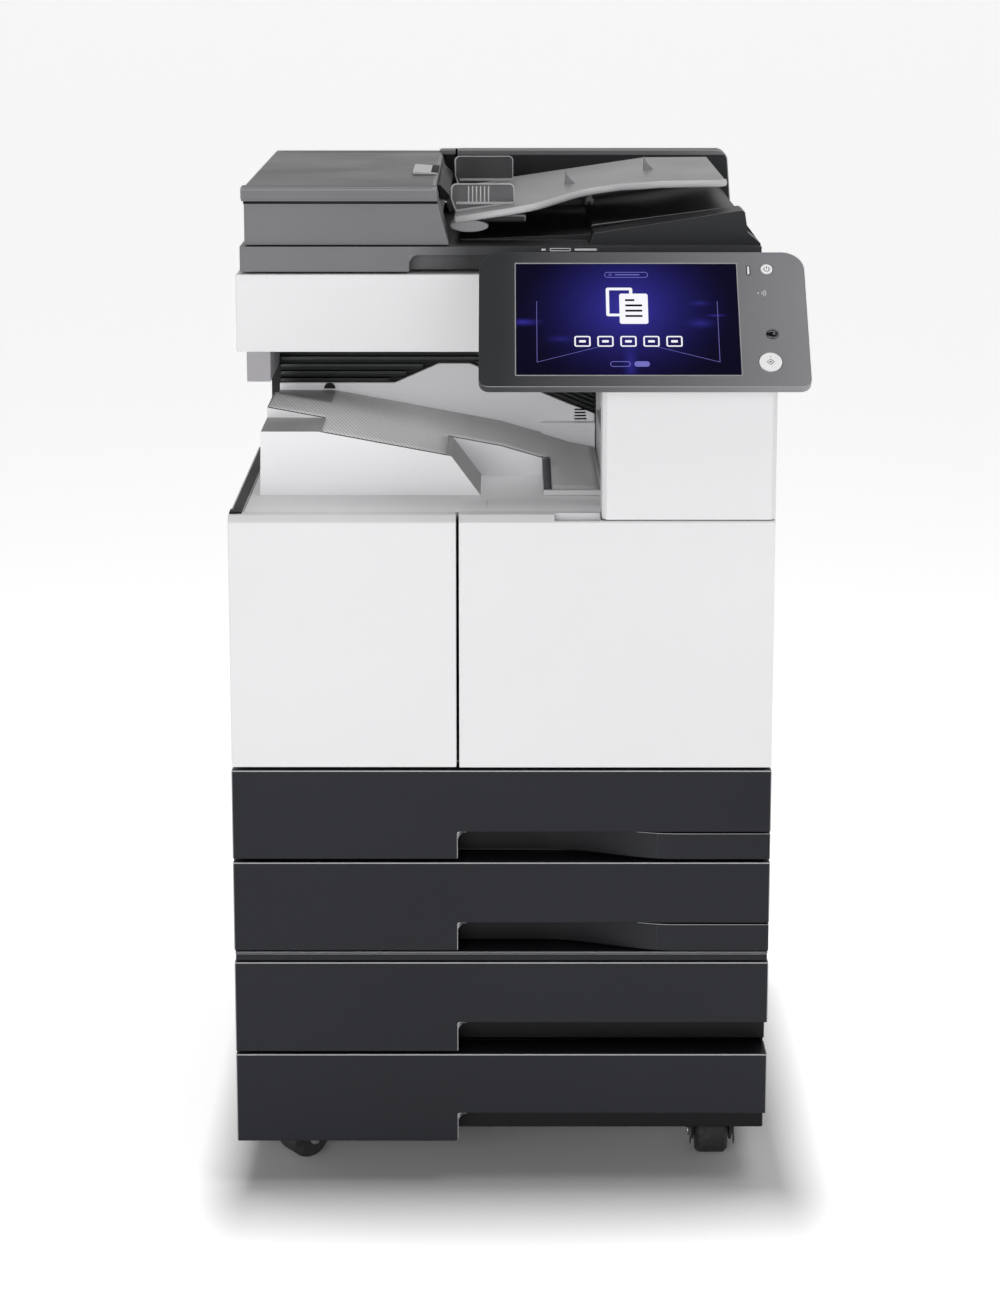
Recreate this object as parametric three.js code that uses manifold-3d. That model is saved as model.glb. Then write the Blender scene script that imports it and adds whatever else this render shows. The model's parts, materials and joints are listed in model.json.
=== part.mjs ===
// An A3 office photocopier on a two-drawer caster cabinet, as separate solids.
// Units are millimetres. X runs to the operator's right, Y runs to the back, Z is up from the floor.
// While the parts are placed, X = 0 is the middle of the body and Y = 0 is the plane of the front doors.
// At the end the whole machine is moved so that its origin is the middle of its footprint.
import * as THREE from "three";
import { mergeVertices } from "three/addons/utils/BufferGeometryUtils.js";
import Module from "manifold-3d";

const wasm = await Module();
wasm.setup();

// ---------------------------------------------------------------- driving dimensions
const GAP = 0.4; // free space between pieces that touch
const WALL = 3; // usual thickness of a moulded or folded wall
const HALF_WIDTH = 290; // half the width of the body
const BACK = 650; // rear plane of the frames, in front of the rear cover
const REAR_COVER_DEPTH = 18;

const CABINET_BOTTOM = 62;
const CABINET_TOP = 262;
const MAIN_BOTTOM = 265;
const MAIN_TOP = 745;
const DECK_TOP = 750; // flat shelf in front of the output tray

const WHEEL_RADIUS = 25;
const WHEEL_WIDTH = 36;
const CASTER_TRAIL = 16; // axle behind the swivel axis
const CASTER_X = 236;
const CASTER_FRONT_Y = 82;
const CASTER_REAR_Y = 585;

const DRAWER_FRONT_DEPTH = 44;
const HANDLE_DEPTH = 41; // how far the hand recess goes in
const HANDLE_LEFT = -47; // the recess runs from here to the right edge
const DRAWERS = [
  { bottom: 373.0, top: 471.8, recessTop: 403.2, trayFloor: 377, insert: true },
  { bottom: 269.7, top: 369.1, recessTop: 301.0, trayFloor: 274, insert: true },
  { bottom: 154.5, top: 256.3, recessTop: 187.5, trayFloor: 158, insert: false },
  { bottom: 50.8, top: 151.2, recessTop: 82.9, trayFloor: 67, insert: false },
];
const TRAY_HALF_WIDTH = 262;
const TRAY_BACK = 575;
const TRAY_LIFT_FRONT = 80;
const TRAY_LIFT_BACK = 395;

const DOOR_BOTTOM = 475.5;
const DOOR_TOP = 750.5;
const DOOR_THICKNESS = 24;
const DOOR_SPLIT_X = -46.7;
const DOOR_SPLIT_GAP = 3;
const DOOR_CHAMFER_RISE = 7.6;
const DOOR_CHAMFER_RUN = 6;
const DOOR_HINGE_Y = 4;
const DOOR_HINGE_Z = 480;

const PILLAR_LEFT = 106;
const PILLAR_BOTTOM = 745.8;
const PILLAR_TOP = 888;
const PILLAR_DEPTH = 56;

const TRAY_BLOCK_FRONT = 120;
const TRAY_BLOCK_BACK = 421.5;
const TRAY_BLOCK_LEFT = -264;
const REAR_WALL_FRONT = 422;
const COLUMN_FRONT = 430;

const SCANNER_FRONT = 130;
const SCANNER_BOTTOM = 906.4;
const SCANNER_TOP = 991.3;
const SCANNER_HALF_WIDTH = 288;
const GLASS = { left: -196, right: 244, front: 190, back: 500 };

const FEEDER_LEFT = -283;
const FEEDER_RIGHT = 281;
const FEEDER_BOTTOM = 994;
const FEEDER_BASE_TOP = 1021;
const FEEDER_TOP = 1085;
const FEEDER_BACK = 658;
const INPUT_TRAY_THICKNESS = 7;

const PANEL_WIDTH = 345;
const PANEL_HEIGHT = 178;
const PANEL_RIM = 10; // thickness of the panel at its edge
const PANEL_CORNERS = { low: 11, high: 24 };
const BULGE_CORNERS = { low: 20, high: 20 };
const PANEL_TILT = 45; // degrees from flat, at rest
const PANEL_FOOT = { x: 148.6, y: -45, z: 894.7 }; // middle of the panel's lower front edge
const PANEL_PIVOT = { y: 70, z: -44 }; // tilt axis, up the panel and behind its face
const PANEL_EARS = [110, 176]; // left side of each hinge ear
const PANEL_EAR_WIDTH = 10;
const SCREEN = { left: 15.2, right: 248.6, bottom: 15.4, top: 162 };

const COLOURS = {
  white: 0xe6e5e7,
  grey: 0xbdbdbf,
  trayGrey: 0x8d8d8d,
  charcoal: 0x303135,
  feeder: 0x56565a,
  panel: 0x4c4c50,
  black: 0x17181a,
  steel: 0xa9adb0,
  glass: 0x202a38,
  rubber: 0x1d1d1e,
  bluish: 0x37506f,
};

// ---------------------------------------------------------------- solids
function toSolid(geometry) {
  const bare = geometry.clone();
  bare.deleteAttribute("normal");
  bare.deleteAttribute("uv");
  const merged = mergeVertices(bare, 1e-4);
  return new wasm.Manifold(
    new wasm.Mesh({
      numProp: 3,
      vertProperties: new Float32Array(merged.attributes.position.array),
      triVerts: new Uint32Array(merged.index.array),
    }),
  );
}

function toGeometry(solid) {
  const mesh = solid.getMesh();
  const geometry = new THREE.BufferGeometry();
  const positions = new Float32Array(mesh.vertProperties);
  geometry.setAttribute("position", new THREE.BufferAttribute(positions, 3));
  geometry.setIndex(new THREE.BufferAttribute(new Uint32Array(mesh.triVerts), 1));
  return geometry;
}

// A block between two corners.
function block([x0, x1], [y0, y1], [z0, z1]) {
  const geometry = new THREE.BoxGeometry(x1 - x0, y1 - y0, z1 - z0);
  geometry.translate((x0 + x1) / 2, (y0 + y1) / 2, (z0 + z1) / 2);
  return toSolid(geometry);
}

function extruded(shape, length, curveSegments = 8) {
  return new THREE.ExtrudeGeometry(shape, { depth: length, bevelEnabled: false, curveSegments });
}

function outline(points) {
  return new THREE.Shape(points.map(([a, b]) => new THREE.Vector2(a, b)));
}

// An outline of X and Y points, raised from z0 to z1.
function prismZ(points, [z0, z1]) {
  const geometry = extruded(outline(points), z1 - z0);
  geometry.translate(0, 0, z0);
  return toSolid(geometry);
}

// An outline of X and Z points, running from y0 back to y1.
function prismY(points, [y0, y1]) {
  const geometry = extruded(outline(points), y1 - y0);
  geometry.rotateX(Math.PI / 2);
  geometry.translate(0, y1, 0);
  return toSolid(geometry);
}

// An outline of Y and Z points, running from x0 right to x1.
function prismX(points, [x0, x1]) {
  const geometry = extruded(outline(points), x1 - x0);
  geometry.rotateX(Math.PI / 2);
  geometry.rotateZ(Math.PI / 2);
  geometry.translate(x0, 0, 0);
  return toSolid(geometry);
}

// A rectangle with rounded corners, centred in X, standing on y = 0. Its lower and upper radii differ.
function roundedRectangle(width, height, { low, high }) {
  const half = width / 2;
  const quarter = Math.PI / 2;
  const shape = new THREE.Shape();
  shape.moveTo(-half + low, 0);
  shape.lineTo(half - low, 0);
  shape.absarc(half - low, low, low, -quarter, 0);
  shape.lineTo(half, height - high);
  shape.absarc(half - high, height - high, high, 0, quarter);
  shape.lineTo(-half + high, height);
  shape.absarc(-half + high, height - high, high, quarter, 2 * quarter);
  shape.lineTo(-half, low);
  shape.absarc(-half + low, low, low, 2 * quarter, 3 * quarter);
  return shape;
}

// A rounded rectangle in the X-Y plane, from z0 up to z1.
function pad(width, height, radii, [z0, z1]) {
  const geometry = extruded(roundedRectangle(width, height, radii), z1 - z0, 6);
  geometry.translate(0, 0, z0);
  return toSolid(geometry);
}

// A turned piece: [radius, station] points, turned round an axis that passes through the centre.
function turned(points, axis, [cx, cy, cz], segments = 24) {
  const profile = points.map(([radius, station]) => new THREE.Vector2(radius, station));
  const geometry = new THREE.LatheGeometry(profile, segments);
  if (axis === "z") geometry.rotateX(Math.PI / 2);
  if (axis === "x") geometry.rotateZ(-Math.PI / 2);
  geometry.translate(cx, cy, cz);
  const solid = toSolid(geometry);
  if (solid.volume() > 0) return solid;
  geometry.setIndex(Array.from(geometry.index.array).reverse());
  return toSolid(geometry);
}

// A plain round bar with flat ends.
function bar(radius, length, axis, centre, segments = 20) {
  const half = length / 2;
  const profile = [
    [0, -half],
    [radius, -half],
    [radius, half],
    [0, half],
  ];
  return turned(profile, axis, centre, segments);
}

function material(colour, roughness = 0.5, metalness = 0) {
  return new THREE.MeshStandardMaterial({ color: colour, roughness, metalness });
}

function addPiece(parent, name, solid, colour, roughness, metalness) {
  const mesh = new THREE.Mesh(toGeometry(solid), material(colour, roughness, metalness));
  mesh.name = name;
  parent.add(mesh);
  return mesh;
}

function place(parent, x, y, z) {
  const group = new THREE.Group();
  group.position.set(x, y, z);
  parent.add(group);
  return group;
}

const machine = new THREE.Group();

// ---------------------------------------------------------------- casters
// Swivel fork: a turntable on top, two cheeks, and the axle between them. Local origin: swivel axis, floor.
function casterFork() {
  const cheekIn = WHEEL_WIDTH / 2 + 2;
  const cheekOut = cheekIn + 3;
  const crown = WHEEL_RADIUS * 2 + 3;
  const side = [
    [-14, crown],
    [-14, crown + 5],
    [CASTER_TRAIL + 12, crown + 5],
    [CASTER_TRAIL + 12, WHEEL_RADIUS - 4],
    [CASTER_TRAIL + 4, WHEEL_RADIUS - 10],
    [CASTER_TRAIL - 8, WHEEL_RADIUS - 8],
    [-8, crown - 12],
  ];
  const left = prismX(side, [-cheekOut, -cheekIn]);
  const right = prismX(side, [cheekIn, cheekOut]);
  const top = block([-cheekOut, cheekOut], [-14, CASTER_TRAIL + 12], [crown, crown + 5]);
  const disc = bar(17, 3.8, "z", [0, 0, crown + 6.7]);
  const axle = bar(4, 2 * cheekOut - 1, "x", [0, CASTER_TRAIL, WHEEL_RADIUS], 16);
  return left.add(right).add(top).add(disc).add(axle);
}

// Wheel with a bore that runs on the fork's axle. Local origin: swivel axis, floor.
function casterWheel() {
  const half = WHEEL_WIDTH / 2;
  const profile = [
    [4.5, -half],
    [WHEEL_RADIUS - 4, -half],
    [WHEEL_RADIUS, -half + 4],
    [WHEEL_RADIUS, half - 4],
    [WHEEL_RADIUS - 4, half],
    [4.5, half],
    [4.5, -half],
  ];
  return turned(profile, "x", [0, CASTER_TRAIL, WHEEL_RADIUS], 40);
}

const CASTERS = [
  { name: "front_left", x: -CASTER_X, y: CASTER_FRONT_Y, turn: -55 },
  { name: "front_right", x: CASTER_X, y: CASTER_FRONT_Y, turn: 0 },
  { name: "rear_left", x: -CASTER_X, y: CASTER_REAR_Y, turn: 0 },
  { name: "rear_right", x: CASTER_X, y: CASTER_REAR_Y, turn: 0 },
];

for (const caster of CASTERS) {
  const group = place(machine, caster.x, caster.y, 0);
  group.rotation.z = THREE.MathUtils.degToRad(caster.turn);
  addPiece(group, "caster_fork_" + caster.name, casterFork(), COLOURS.black, 0.45, 0.2);
  addPiece(group, "caster_wheel_" + caster.name, casterWheel(), COLOURS.rubber, 0.7, 0);
}

// ---------------------------------------------------------------- cabinet
function cabinetShell() {
  const half = HALF_WIDTH - 1;
  const front = DRAWER_FRONT_DEPTH + 2;
  const shelf = DRAWERS[2].bottom - 3;
  const inside = [-half + WALL, half - WALL];
  const depth = [front - 1, BACK - WALL];
  return block([-half, half], [front, BACK], [CABINET_BOTTOM, CABINET_TOP])
    .subtract(block(inside, depth, [CABINET_BOTTOM + WALL, shelf]))
    .subtract(block(inside, depth, [shelf + WALL, CABINET_TOP - WALL]));
}
addPiece(machine, "cabinet_shell", cabinetShell(), COLOURS.charcoal, 0.45, 0);

// ---------------------------------------------------------------- paper drawers
// Front panel of a drawer, a shell that is open behind, with the hand recess at its lower right.
function drawerFront(height, recess) {
  const right = HALF_WIDTH;
  const panel = block([-right, right], [0, DRAWER_FRONT_DEPTH], [0, height]);
  const recessBox = block([HANDLE_LEFT, right + 1], [-1, HANDLE_DEPTH], [-1, recess]);
  const pocketDepth = [WALL, DRAWER_FRONT_DEPTH + 1];
  const leftPocket = block([-right + WALL, HANDLE_LEFT - WALL], pocketDepth, [WALL, height - WALL]);
  const upperPocket = block(
    [HANDLE_LEFT - WALL - 1, right - WALL],
    pocketDepth,
    [recess + WALL, height - WALL],
  );
  return panel.subtract(recessBox).subtract(leftPocket.add(upperPocket));
}

// Moulded grip in the recess: deep at its left and flush with the front at its right, in one S-curve.
function handleInsert(recess) {
  const deepEnd = 42;
  const flushStart = 189;
  const right = HALF_WIDTH - 0.5;
  const steps = 14;
  const plan = [[HANDLE_LEFT + GAP, HANDLE_DEPTH - GAP]];
  plan.push([HANDLE_LEFT + GAP, HANDLE_DEPTH - 2]);
  for (let i = 0; i <= steps; i++) {
    const share = i / steps;
    const depth = (HANDLE_DEPTH - 2) * (0.5 + 0.5 * Math.cos(Math.PI * share));
    plan.push([deepEnd + (flushStart - deepEnd) * share, depth]);
  }
  plan.push([right, 0]);
  plan.push([right, HANDLE_DEPTH - GAP]);
  return prismZ(plan, [0, recess - 1.6]);
}

// Open-topped paper tray, with its floor at the given height above the foot of the drawer's front.
function paperTray(height, floor) {
  const front = DRAWER_FRONT_DEPTH + GAP;
  const half = TRAY_HALF_WIDTH;
  const rim = height - 10;
  return block([-half, half], [front, TRAY_BACK], [floor, rim]).subtract(
    block([-half + 2.5, half - 2.5], [front + 2.5, TRAY_BACK - 2.5], [floor + 2.5, rim + 1]),
  );
}

// Plate under the paper that is hinged at its left and lifts at the feed side, on the right.
function liftPlate(floor) {
  const low = floor + 3.2;
  const middleY = (TRAY_LIFT_FRONT + TRAY_LIFT_BACK) / 2;
  const plate = block([-205, 252], [TRAY_LIFT_FRONT, TRAY_LIFT_BACK], [low, low + 1.4]);
  const knuckle = bar(3, TRAY_LIFT_BACK - TRAY_LIFT_FRONT, "y", [-206, middleY, low + 3], 12);
  return plate.add(knuckle);
}

DRAWERS.forEach((drawer, index) => {
  const name = "drawer_" + (index + 1);
  const group = place(machine, 0, 0, drawer.bottom);
  const height = drawer.top - drawer.bottom;
  const recess = drawer.recessTop - drawer.bottom;
  const floor = drawer.trayFloor - drawer.bottom;
  addPiece(group, name + "_front", drawerFront(height, recess), COLOURS.charcoal, 0.4, 0);
  addPiece(group, name + "_paper_tray", paperTray(height, floor), COLOURS.grey, 0.6, 0);
  addPiece(group, name + "_lift_plate", liftPlate(floor), COLOURS.steel, 0.35, 0.9);
  if (drawer.insert) {
    addPiece(group, name + "_handle_insert", handleInsert(recess), COLOURS.charcoal, 0.4, 0);
  }
});

// ---------------------------------------------------------------- main unit
const ENGINE = {
  drum: { x: 112, z: 612 },
  toner: { x: 40, z: 690 },
  fuser: { x: 214, z: 668 },
  motor: { x: 150, z: 560 },
};
const FRONT_PLATE_Y = 62;
const BACK_PLATE_Y = 520;

// Folded-steel frame: two drawer cells below, the print engine's bay above, and two bearing plates in it.
function mainFrame() {
  const left = -HALF_WIDTH + 5;
  const right = HALF_WIDTH - 0.5;
  const drawerFace = DRAWER_FRONT_DEPTH + 2;
  const bayFloor = 472.6;
  const lower = block([left, right], [drawerFace, BACK], [MAIN_BOTTOM, bayFloor + 1]);
  const upper = block([left, right], [DOOR_THICKNESS + 4, BACK], [bayFloor, MAIN_TOP]);
  const leftLedge = block([-HALF_WIDTH + 2, -275], [DOOR_THICKNESS + 1, COLUMN_FRONT - 1], [
    MAIN_TOP - 8,
    DECK_TOP + 1,
  ]);
  const inX = [left + WALL, right - WALL];
  const deep = BACK - WALL;
  let frame = lower.add(upper).add(leftLedge);
  for (const drawer of DRAWERS.slice(0, 2)) {
    frame = frame.subtract(block(inX, [drawerFace - 1, deep], [drawer.bottom - 1.5, drawer.top - 1.5]));
  }
  frame = frame.subtract(block(inX, [DOOR_THICKNESS + 3, deep], [bayFloor + WALL, MAIN_TOP - WALL]));
  const bearingZ = [bayFloor + WALL - 0.5, MAIN_TOP - WALL + 0.5];
  const plateRight = right - 12;
  const frontPlate = block([4, plateRight], [FRONT_PLATE_Y, FRONT_PLATE_Y + WALL], bearingZ);
  const backPlate = block([left + 1, plateRight], [BACK_PLATE_Y, BACK_PLATE_Y + WALL], bearingZ);
  const bottleHole = bar(41, 20, "y", [ENGINE.toner.x, FRONT_PLATE_Y, ENGINE.toner.z], 28);
  frame = frame.add(frontPlate.subtract(bottleHole)).add(backPlate);
  const bearings = [ENGINE.drum, ENGINE.fuser];
  for (const { x, z } of bearings) {
    frame = frame.subtract(bar(5.5, 20, "y", [x, FRONT_PLATE_Y, z], 16));
    frame = frame.subtract(bar(5.5, 20, "y", [x, BACK_PLATE_Y, z], 16));
  }
  frame = frame.subtract(bar(5.5, 20, "y", [ENGINE.toner.x, BACK_PLATE_Y, ENGINE.toner.z], 16));
  frame = frame.subtract(bar(5.5, 20, "y", [ENGINE.motor.x, BACK_PLATE_Y, ENGINE.motor.z], 16));
  const sideOpening = block([right - WALL - 1, right + 1], [96, 604], [492, 732]);
  return frame.subtract(sideOpening);
}
addPiece(machine, "main_frame", mainFrame(), COLOURS.grey, 0.5, 0.2);

function leftSideCover() {
  const outer = -HALF_WIDTH + 0.5;
  return block([outer, outer + 4], [DRAWER_FRONT_DEPTH + 2, BACK], [MAIN_BOTTOM, MAIN_TOP - 9]);
}
addPiece(machine, "left_side_cover", leftSideCover(), COLOURS.white, 0.45, 0);

// Rear cover: a shallow shell with rows of cooling slots, a mains inlet pocket and a switch pocket.
function rearCover() {
  const front = BACK + GAP;
  const back = BACK + REAR_COVER_DEPTH;
  const half = HALF_WIDTH - 4;
  const top = 902;
  let cover = block([-half, half], [front, back], [MAIN_BOTTOM + 4, top]).subtract(
    block([-half + WALL, half - WALL], [front - 1, back - WALL], [MAIN_BOTTOM + 8, top - WALL]),
  );
  for (let row = 0; row < 7; row++) {
    const z = 640 + row * 12;
    cover = cover.subtract(block([-220, -90], [back - WALL - 1, back + 1], [z, z + 5]));
    cover = cover.subtract(block([100, 230], [back - WALL - 1, back + 1], [z, z + 5]));
  }
  return cover.subtract(block([190, 240], [back - WALL - 1, back + 1], [300, 336]));
}
addPiece(machine, "rear_cover", rearCover(), COLOURS.white, 0.45, 0);

// Y-Z outline of a front cover, with the chamfer along its top front edge.
const DOOR_SECTION = [
  [0, DOOR_BOTTOM],
  [DOOR_THICKNESS, DOOR_BOTTOM],
  [DOOR_THICKNESS, DOOR_TOP],
  [DOOR_CHAMFER_RUN, DOOR_TOP],
  [0, DOOR_TOP - DOOR_CHAMFER_RISE],
];

function doorShell([x0, x1]) {
  const pocket = block(
    [x0 + WALL, x1 - WALL],
    [WALL + 1, DOOR_THICKNESS + 1],
    [DOOR_BOTTOM + WALL, DOOR_TOP - DOOR_CHAMFER_RISE - WALL],
  );
  return prismX(DOOR_SECTION, [x0, x1]).subtract(pocket);
}

function rightFrontDoor() {
  const left = DOOR_SPLIT_X + DOOR_SPLIT_GAP / 2;
  const underPillar = block(
    [PILLAR_LEFT - 1.5, HALF_WIDTH + 1],
    [-1, DOOR_THICKNESS + 1],
    [PILLAR_BOTTOM - 1.2, DOOR_TOP + 1],
  );
  const fingerNotch = block([56, PILLAR_LEFT - 2], [1.2, 14], [PILLAR_BOTTOM - 3, DOOR_TOP + 1]);
  return doorShell([left, HALF_WIDTH - 0.5]).subtract(underPillar).subtract(fingerNotch);
}

addPiece(
  machine,
  "left_front_cover",
  doorShell([-HALF_WIDTH + 0.5, DOOR_SPLIT_X - DOOR_SPLIT_GAP / 2]),
  COLOURS.white,
  0.4,
  0,
);
addPiece(machine, "right_front_door", rightFrontDoor(), COLOURS.white, 0.4, 0);

// Mains inlet: a socket body set in the rear cover, open to the back.
function mainsInlet() {
  const back = BACK + REAR_COVER_DEPTH;
  return block([190.5, 239.5], [BACK + 2, back - 0.5], [300.5, 335.5]).subtract(
    block([196, 234], [back - 12, back + 1], [306, 330]),
  );
}
addPiece(machine, "mains_inlet", mainsInlet(), COLOURS.black, 0.5, 0);

// Side door with the bypass tray folded into it.
const SIDE_DOOR = { front: 97, back: 603, bottom: 493, top: 731 };
const BYPASS = { front: 190, back: 505, bottom: 520, top: 700 };

function sideDoor() {
  const outer = HALF_WIDTH - 0.5;
  const inner = outer - 10;
  return block([inner, outer], [SIDE_DOOR.front, SIDE_DOOR.back], [SIDE_DOOR.bottom, SIDE_DOOR.top])
    .subtract(
      block(
        [inner + WALL, outer + 1],
        [BYPASS.front - 1, BYPASS.back + 1],
        [BYPASS.bottom - 1, BYPASS.top + 14],
      ),
    )
    .subtract(
      block(
        [inner - 1, inner + WALL + 1],
        [BYPASS.front + 12, BYPASS.back - 12],
        [BYPASS.bottom + 6, BYPASS.bottom + 22],
      ),
    );
}
addPiece(machine, "side_door", sideDoor(), COLOURS.white, 0.45, 0);

function bypassTray() {
  const outer = HALF_WIDTH - 0.5;
  return block([outer - 6, outer], [BYPASS.front, BYPASS.back], [BYPASS.bottom, BYPASS.top]).subtract(
    block([outer - 7, outer - 3], [BYPASS.front + 6, BYPASS.back - 6], [BYPASS.bottom + 8, BYPASS.top - 6]),
  );
}
addPiece(machine, "bypass_tray", bypassTray(), COLOURS.white, 0.45, 0);

// ---------------------------------------------------------------- print engine
function shaftWithRoller(radius, [y0, y1], { x, z }) {
  const profile = [
    [0, FRONT_PLATE_Y - 6],
    [5, FRONT_PLATE_Y - 6],
    [5, y0],
    [radius, y0],
    [radius, y1],
    [5, y1],
    [5, BACK_PLATE_Y + 12],
    [0, BACK_PLATE_Y + 12],
  ];
  return turned(profile, "y", [x, 0, z], 28);
}
addPiece(machine, "photo_drum", shaftWithRoller(15, [90, 430], ENGINE.drum), COLOURS.bluish, 0.2, 0.3);
addPiece(machine, "fuser_roller", shaftWithRoller(17, [90, 430], ENGINE.fuser), COLOURS.rubber, 0.3, 0);

function tonerBottle() {
  const profile = [
    [0, 50],
    [30, 50],
    [38, 56],
    [38, 430],
    [20, 452],
    [5, 452],
    [5, BACK_PLATE_Y + 12],
    [0, BACK_PLATE_Y + 12],
  ];
  return turned(profile, "y", [ENGINE.toner.x, 0, ENGINE.toner.z], 28);
}
addPiece(machine, "toner_bottle", tonerBottle(), COLOURS.black, 0.5, 0);

function driveMotor() {
  const start = BACK_PLATE_Y + WALL + GAP;
  const profile = [
    [0, start - 14],
    [4.5, start - 14],
    [4.5, start],
    [30, start],
    [30, start + 52],
    [0, start + 52],
  ];
  return turned(profile, "y", [ENGINE.motor.x, 0, ENGINE.motor.z], 24);
}
addPiece(machine, "drive_motor", driveMotor(), COLOURS.steel, 0.4, 0.8);

// Laser housing with a sloping beam window, open below, fixed across the bay under the drum.
function laserUnit() {
  const section = [
    [-190, 500],
    [70, 500],
    [70, 540],
    [40, 556],
    [-190, 556],
  ];
  const body = prismY(section, [110, BACK_PLATE_Y - GAP]);
  const inside = block([-187, 38], [113, BACK_PLATE_Y - WALL - GAP], [499, 553]);
  return body.subtract(inside);
}
addPiece(machine, "laser_unit", laserUnit(), COLOURS.black, 0.6, 0);

// Power supply: a folded tray, open to the back.
function powerSupply() {
  const front = BACK_PLATE_Y + WALL + GAP;
  const back = BACK - WALL - GAP;
  return block([-268, -40], [front, back], [490, 700]).subtract(
    block([-266, -42], [front + 2, back + 1], [492, 698]),
  );
}
addPiece(machine, "power_supply", powerSupply(), COLOURS.steel, 0.4, 0.8);

// ---------------------------------------------------------------- output tray
const FINGER_FLOOR = 820.5;
const UNDERSIDE_TOP = 762; // roof of the hollow under the tray
const HAND_BACK = 245; // back wall of the hollow for the hand
const LEDGE = { left: 46, front: 408, top: 783 }; // step at the foot of the rear wall

// X-Z section of the paper surface: high at the left, falling to the right under the exit slot.
const TRAY_SECTION = [
  [TRAY_BLOCK_LEFT, DECK_TOP - 1],
  [PILLAR_LEFT + 4, DECK_TOP - 1],
  [PILLAR_LEFT + 4, 753],
  [80, 758.5],
  [46, 769.5],
  [0, 783],
  [-69, 796],
  [-200, 820.5],
  [-262, 832],
];

function outputTray() {
  const deck = block([-274, HALF_WIDTH - 0.5], [DOOR_THICKNESS + GAP, COLUMN_FRONT - 1], [
    MAIN_TOP + GAP,
    DECK_TOP,
  ]);
  const body = prismY(TRAY_SECTION, [TRAY_BLOCK_FRONT, TRAY_BLOCK_BACK]);
  const hollowFront = block([TRAY_BLOCK_LEFT + 6, -66], [TRAY_BLOCK_FRONT + 6, TRAY_BLOCK_BACK - 6], [
    MAIN_TOP,
    UNDERSIDE_TOP,
  ]);
  const hollowBehindHand = block([-67, 30], [HAND_BACK + 6, TRAY_BLOCK_BACK - 6], [MAIN_TOP, UNDERSIDE_TOP]);
  const frontNotch = block([-270, -198], [TRAY_BLOCK_FRONT - 1, 215], [FINGER_FLOOR, 840]);
  const rearNotch = block([-270, -192], [331, TRAY_BLOCK_BACK + 1], [FINGER_FLOOR, 840]);
  const fingerHollow = prismY(
    [
      [-59.5, 800],
      [-22.7, DECK_TOP],
      [46, DECK_TOP],
      [46, 800],
    ],
    [TRAY_BLOCK_FRONT - 1, HAND_BACK],
  );
  const frontSlope = prismX(
    [
      [TRAY_BLOCK_FRONT - 1, 754],
      [HAND_BACK, 771],
      [HAND_BACK, 800],
      [TRAY_BLOCK_FRONT - 1, 800],
    ],
    [46, PILLAR_LEFT + 5],
  );
  const ledgeSpace = block([LEDGE.left - GAP, PILLAR_LEFT + 5], [LEDGE.front - GAP, TRAY_BLOCK_BACK + 1], [
    DECK_TOP,
    800,
  ]);
  return body
    .subtract(frontNotch)
    .subtract(rearNotch)
    .subtract(fingerHollow)
    .subtract(frontSlope)
    .subtract(ledgeSpace)
    .add(deck)
    .subtract(hollowFront)
    .subtract(hollowBehindHand);
}
addPiece(machine, "output_tray", outputTray(), COLOURS.grey, 0.5, 0);

// Light wall behind the output tray, with its stepped top outline and the ledge at its right.
function outputRearWall() {
  const wall = prismY(
    [
      [-262, DECK_TOP + GAP],
      [PILLAR_LEFT + 5, DECK_TOP + GAP],
      [PILLAR_LEFT + 5, 791],
      [51, 815.5],
      [-37, 852],
      [-74, 852],
      [-126, 829],
      [-262, 829],
    ],
    [REAR_WALL_FRONT, COLUMN_FRONT - 1],
  );
  const ledge = block([LEDGE.left, PILLAR_LEFT + 5], [LEDGE.front, REAR_WALL_FRONT + 1], [
    DECK_TOP + GAP,
    LEDGE.top,
  ]);
  return wall.add(ledge);
}
addPiece(machine, "output_rear_wall", outputRearWall(), COLOURS.grey, 0.5, 0);

// Rear column that carries the scanner, with its left wing and the row of cooling louvres at its front.
function rearColumn() {
  const top = SCANNER_BOTTOM - GAP;
  const core = block([-272, HALF_WIDTH - 2], [COLUMN_FRONT, BACK - 1], [MAIN_TOP + GAP, top]);
  const hollow = block([-268, HALF_WIDTH - 6], [COLUMN_FRONT + 8, BACK - 5], [MAIN_TOP, top - WALL]);
  const wing = block([-HALF_WIDTH, -263], [290, BACK - 1], [850, top]);
  const wingHollow = block([-HALF_WIDTH + WALL, -266], [294, COLUMN_FRONT + 20], [849, top - WALL]);
  let column = core.add(wing).subtract(wingHollow).subtract(hollow);
  for (let slat = 0; slat < 8; slat++) {
    const z = 829.5 + slat * 8.6;
    column = column.subtract(block([-261, PILLAR_LEFT + 4], [COLUMN_FRONT - 1, COLUMN_FRONT + 5], [z, z + 5]));
  }
  return column;
}
addPiece(machine, "rear_column", rearColumn(), COLOURS.black, 0.55, 0);

// A point of the panel's own plane, in the machine's Y and Z.
function onPanel({ y, z }) {
  const slope = THREE.MathUtils.degToRad(PANEL_TILT);
  return {
    y: PANEL_FOOT.y + y * Math.cos(slope) - z * Math.sin(slope),
    z: PANEL_FOOT.z + y * Math.sin(slope) + z * Math.cos(slope),
  };
}

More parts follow.
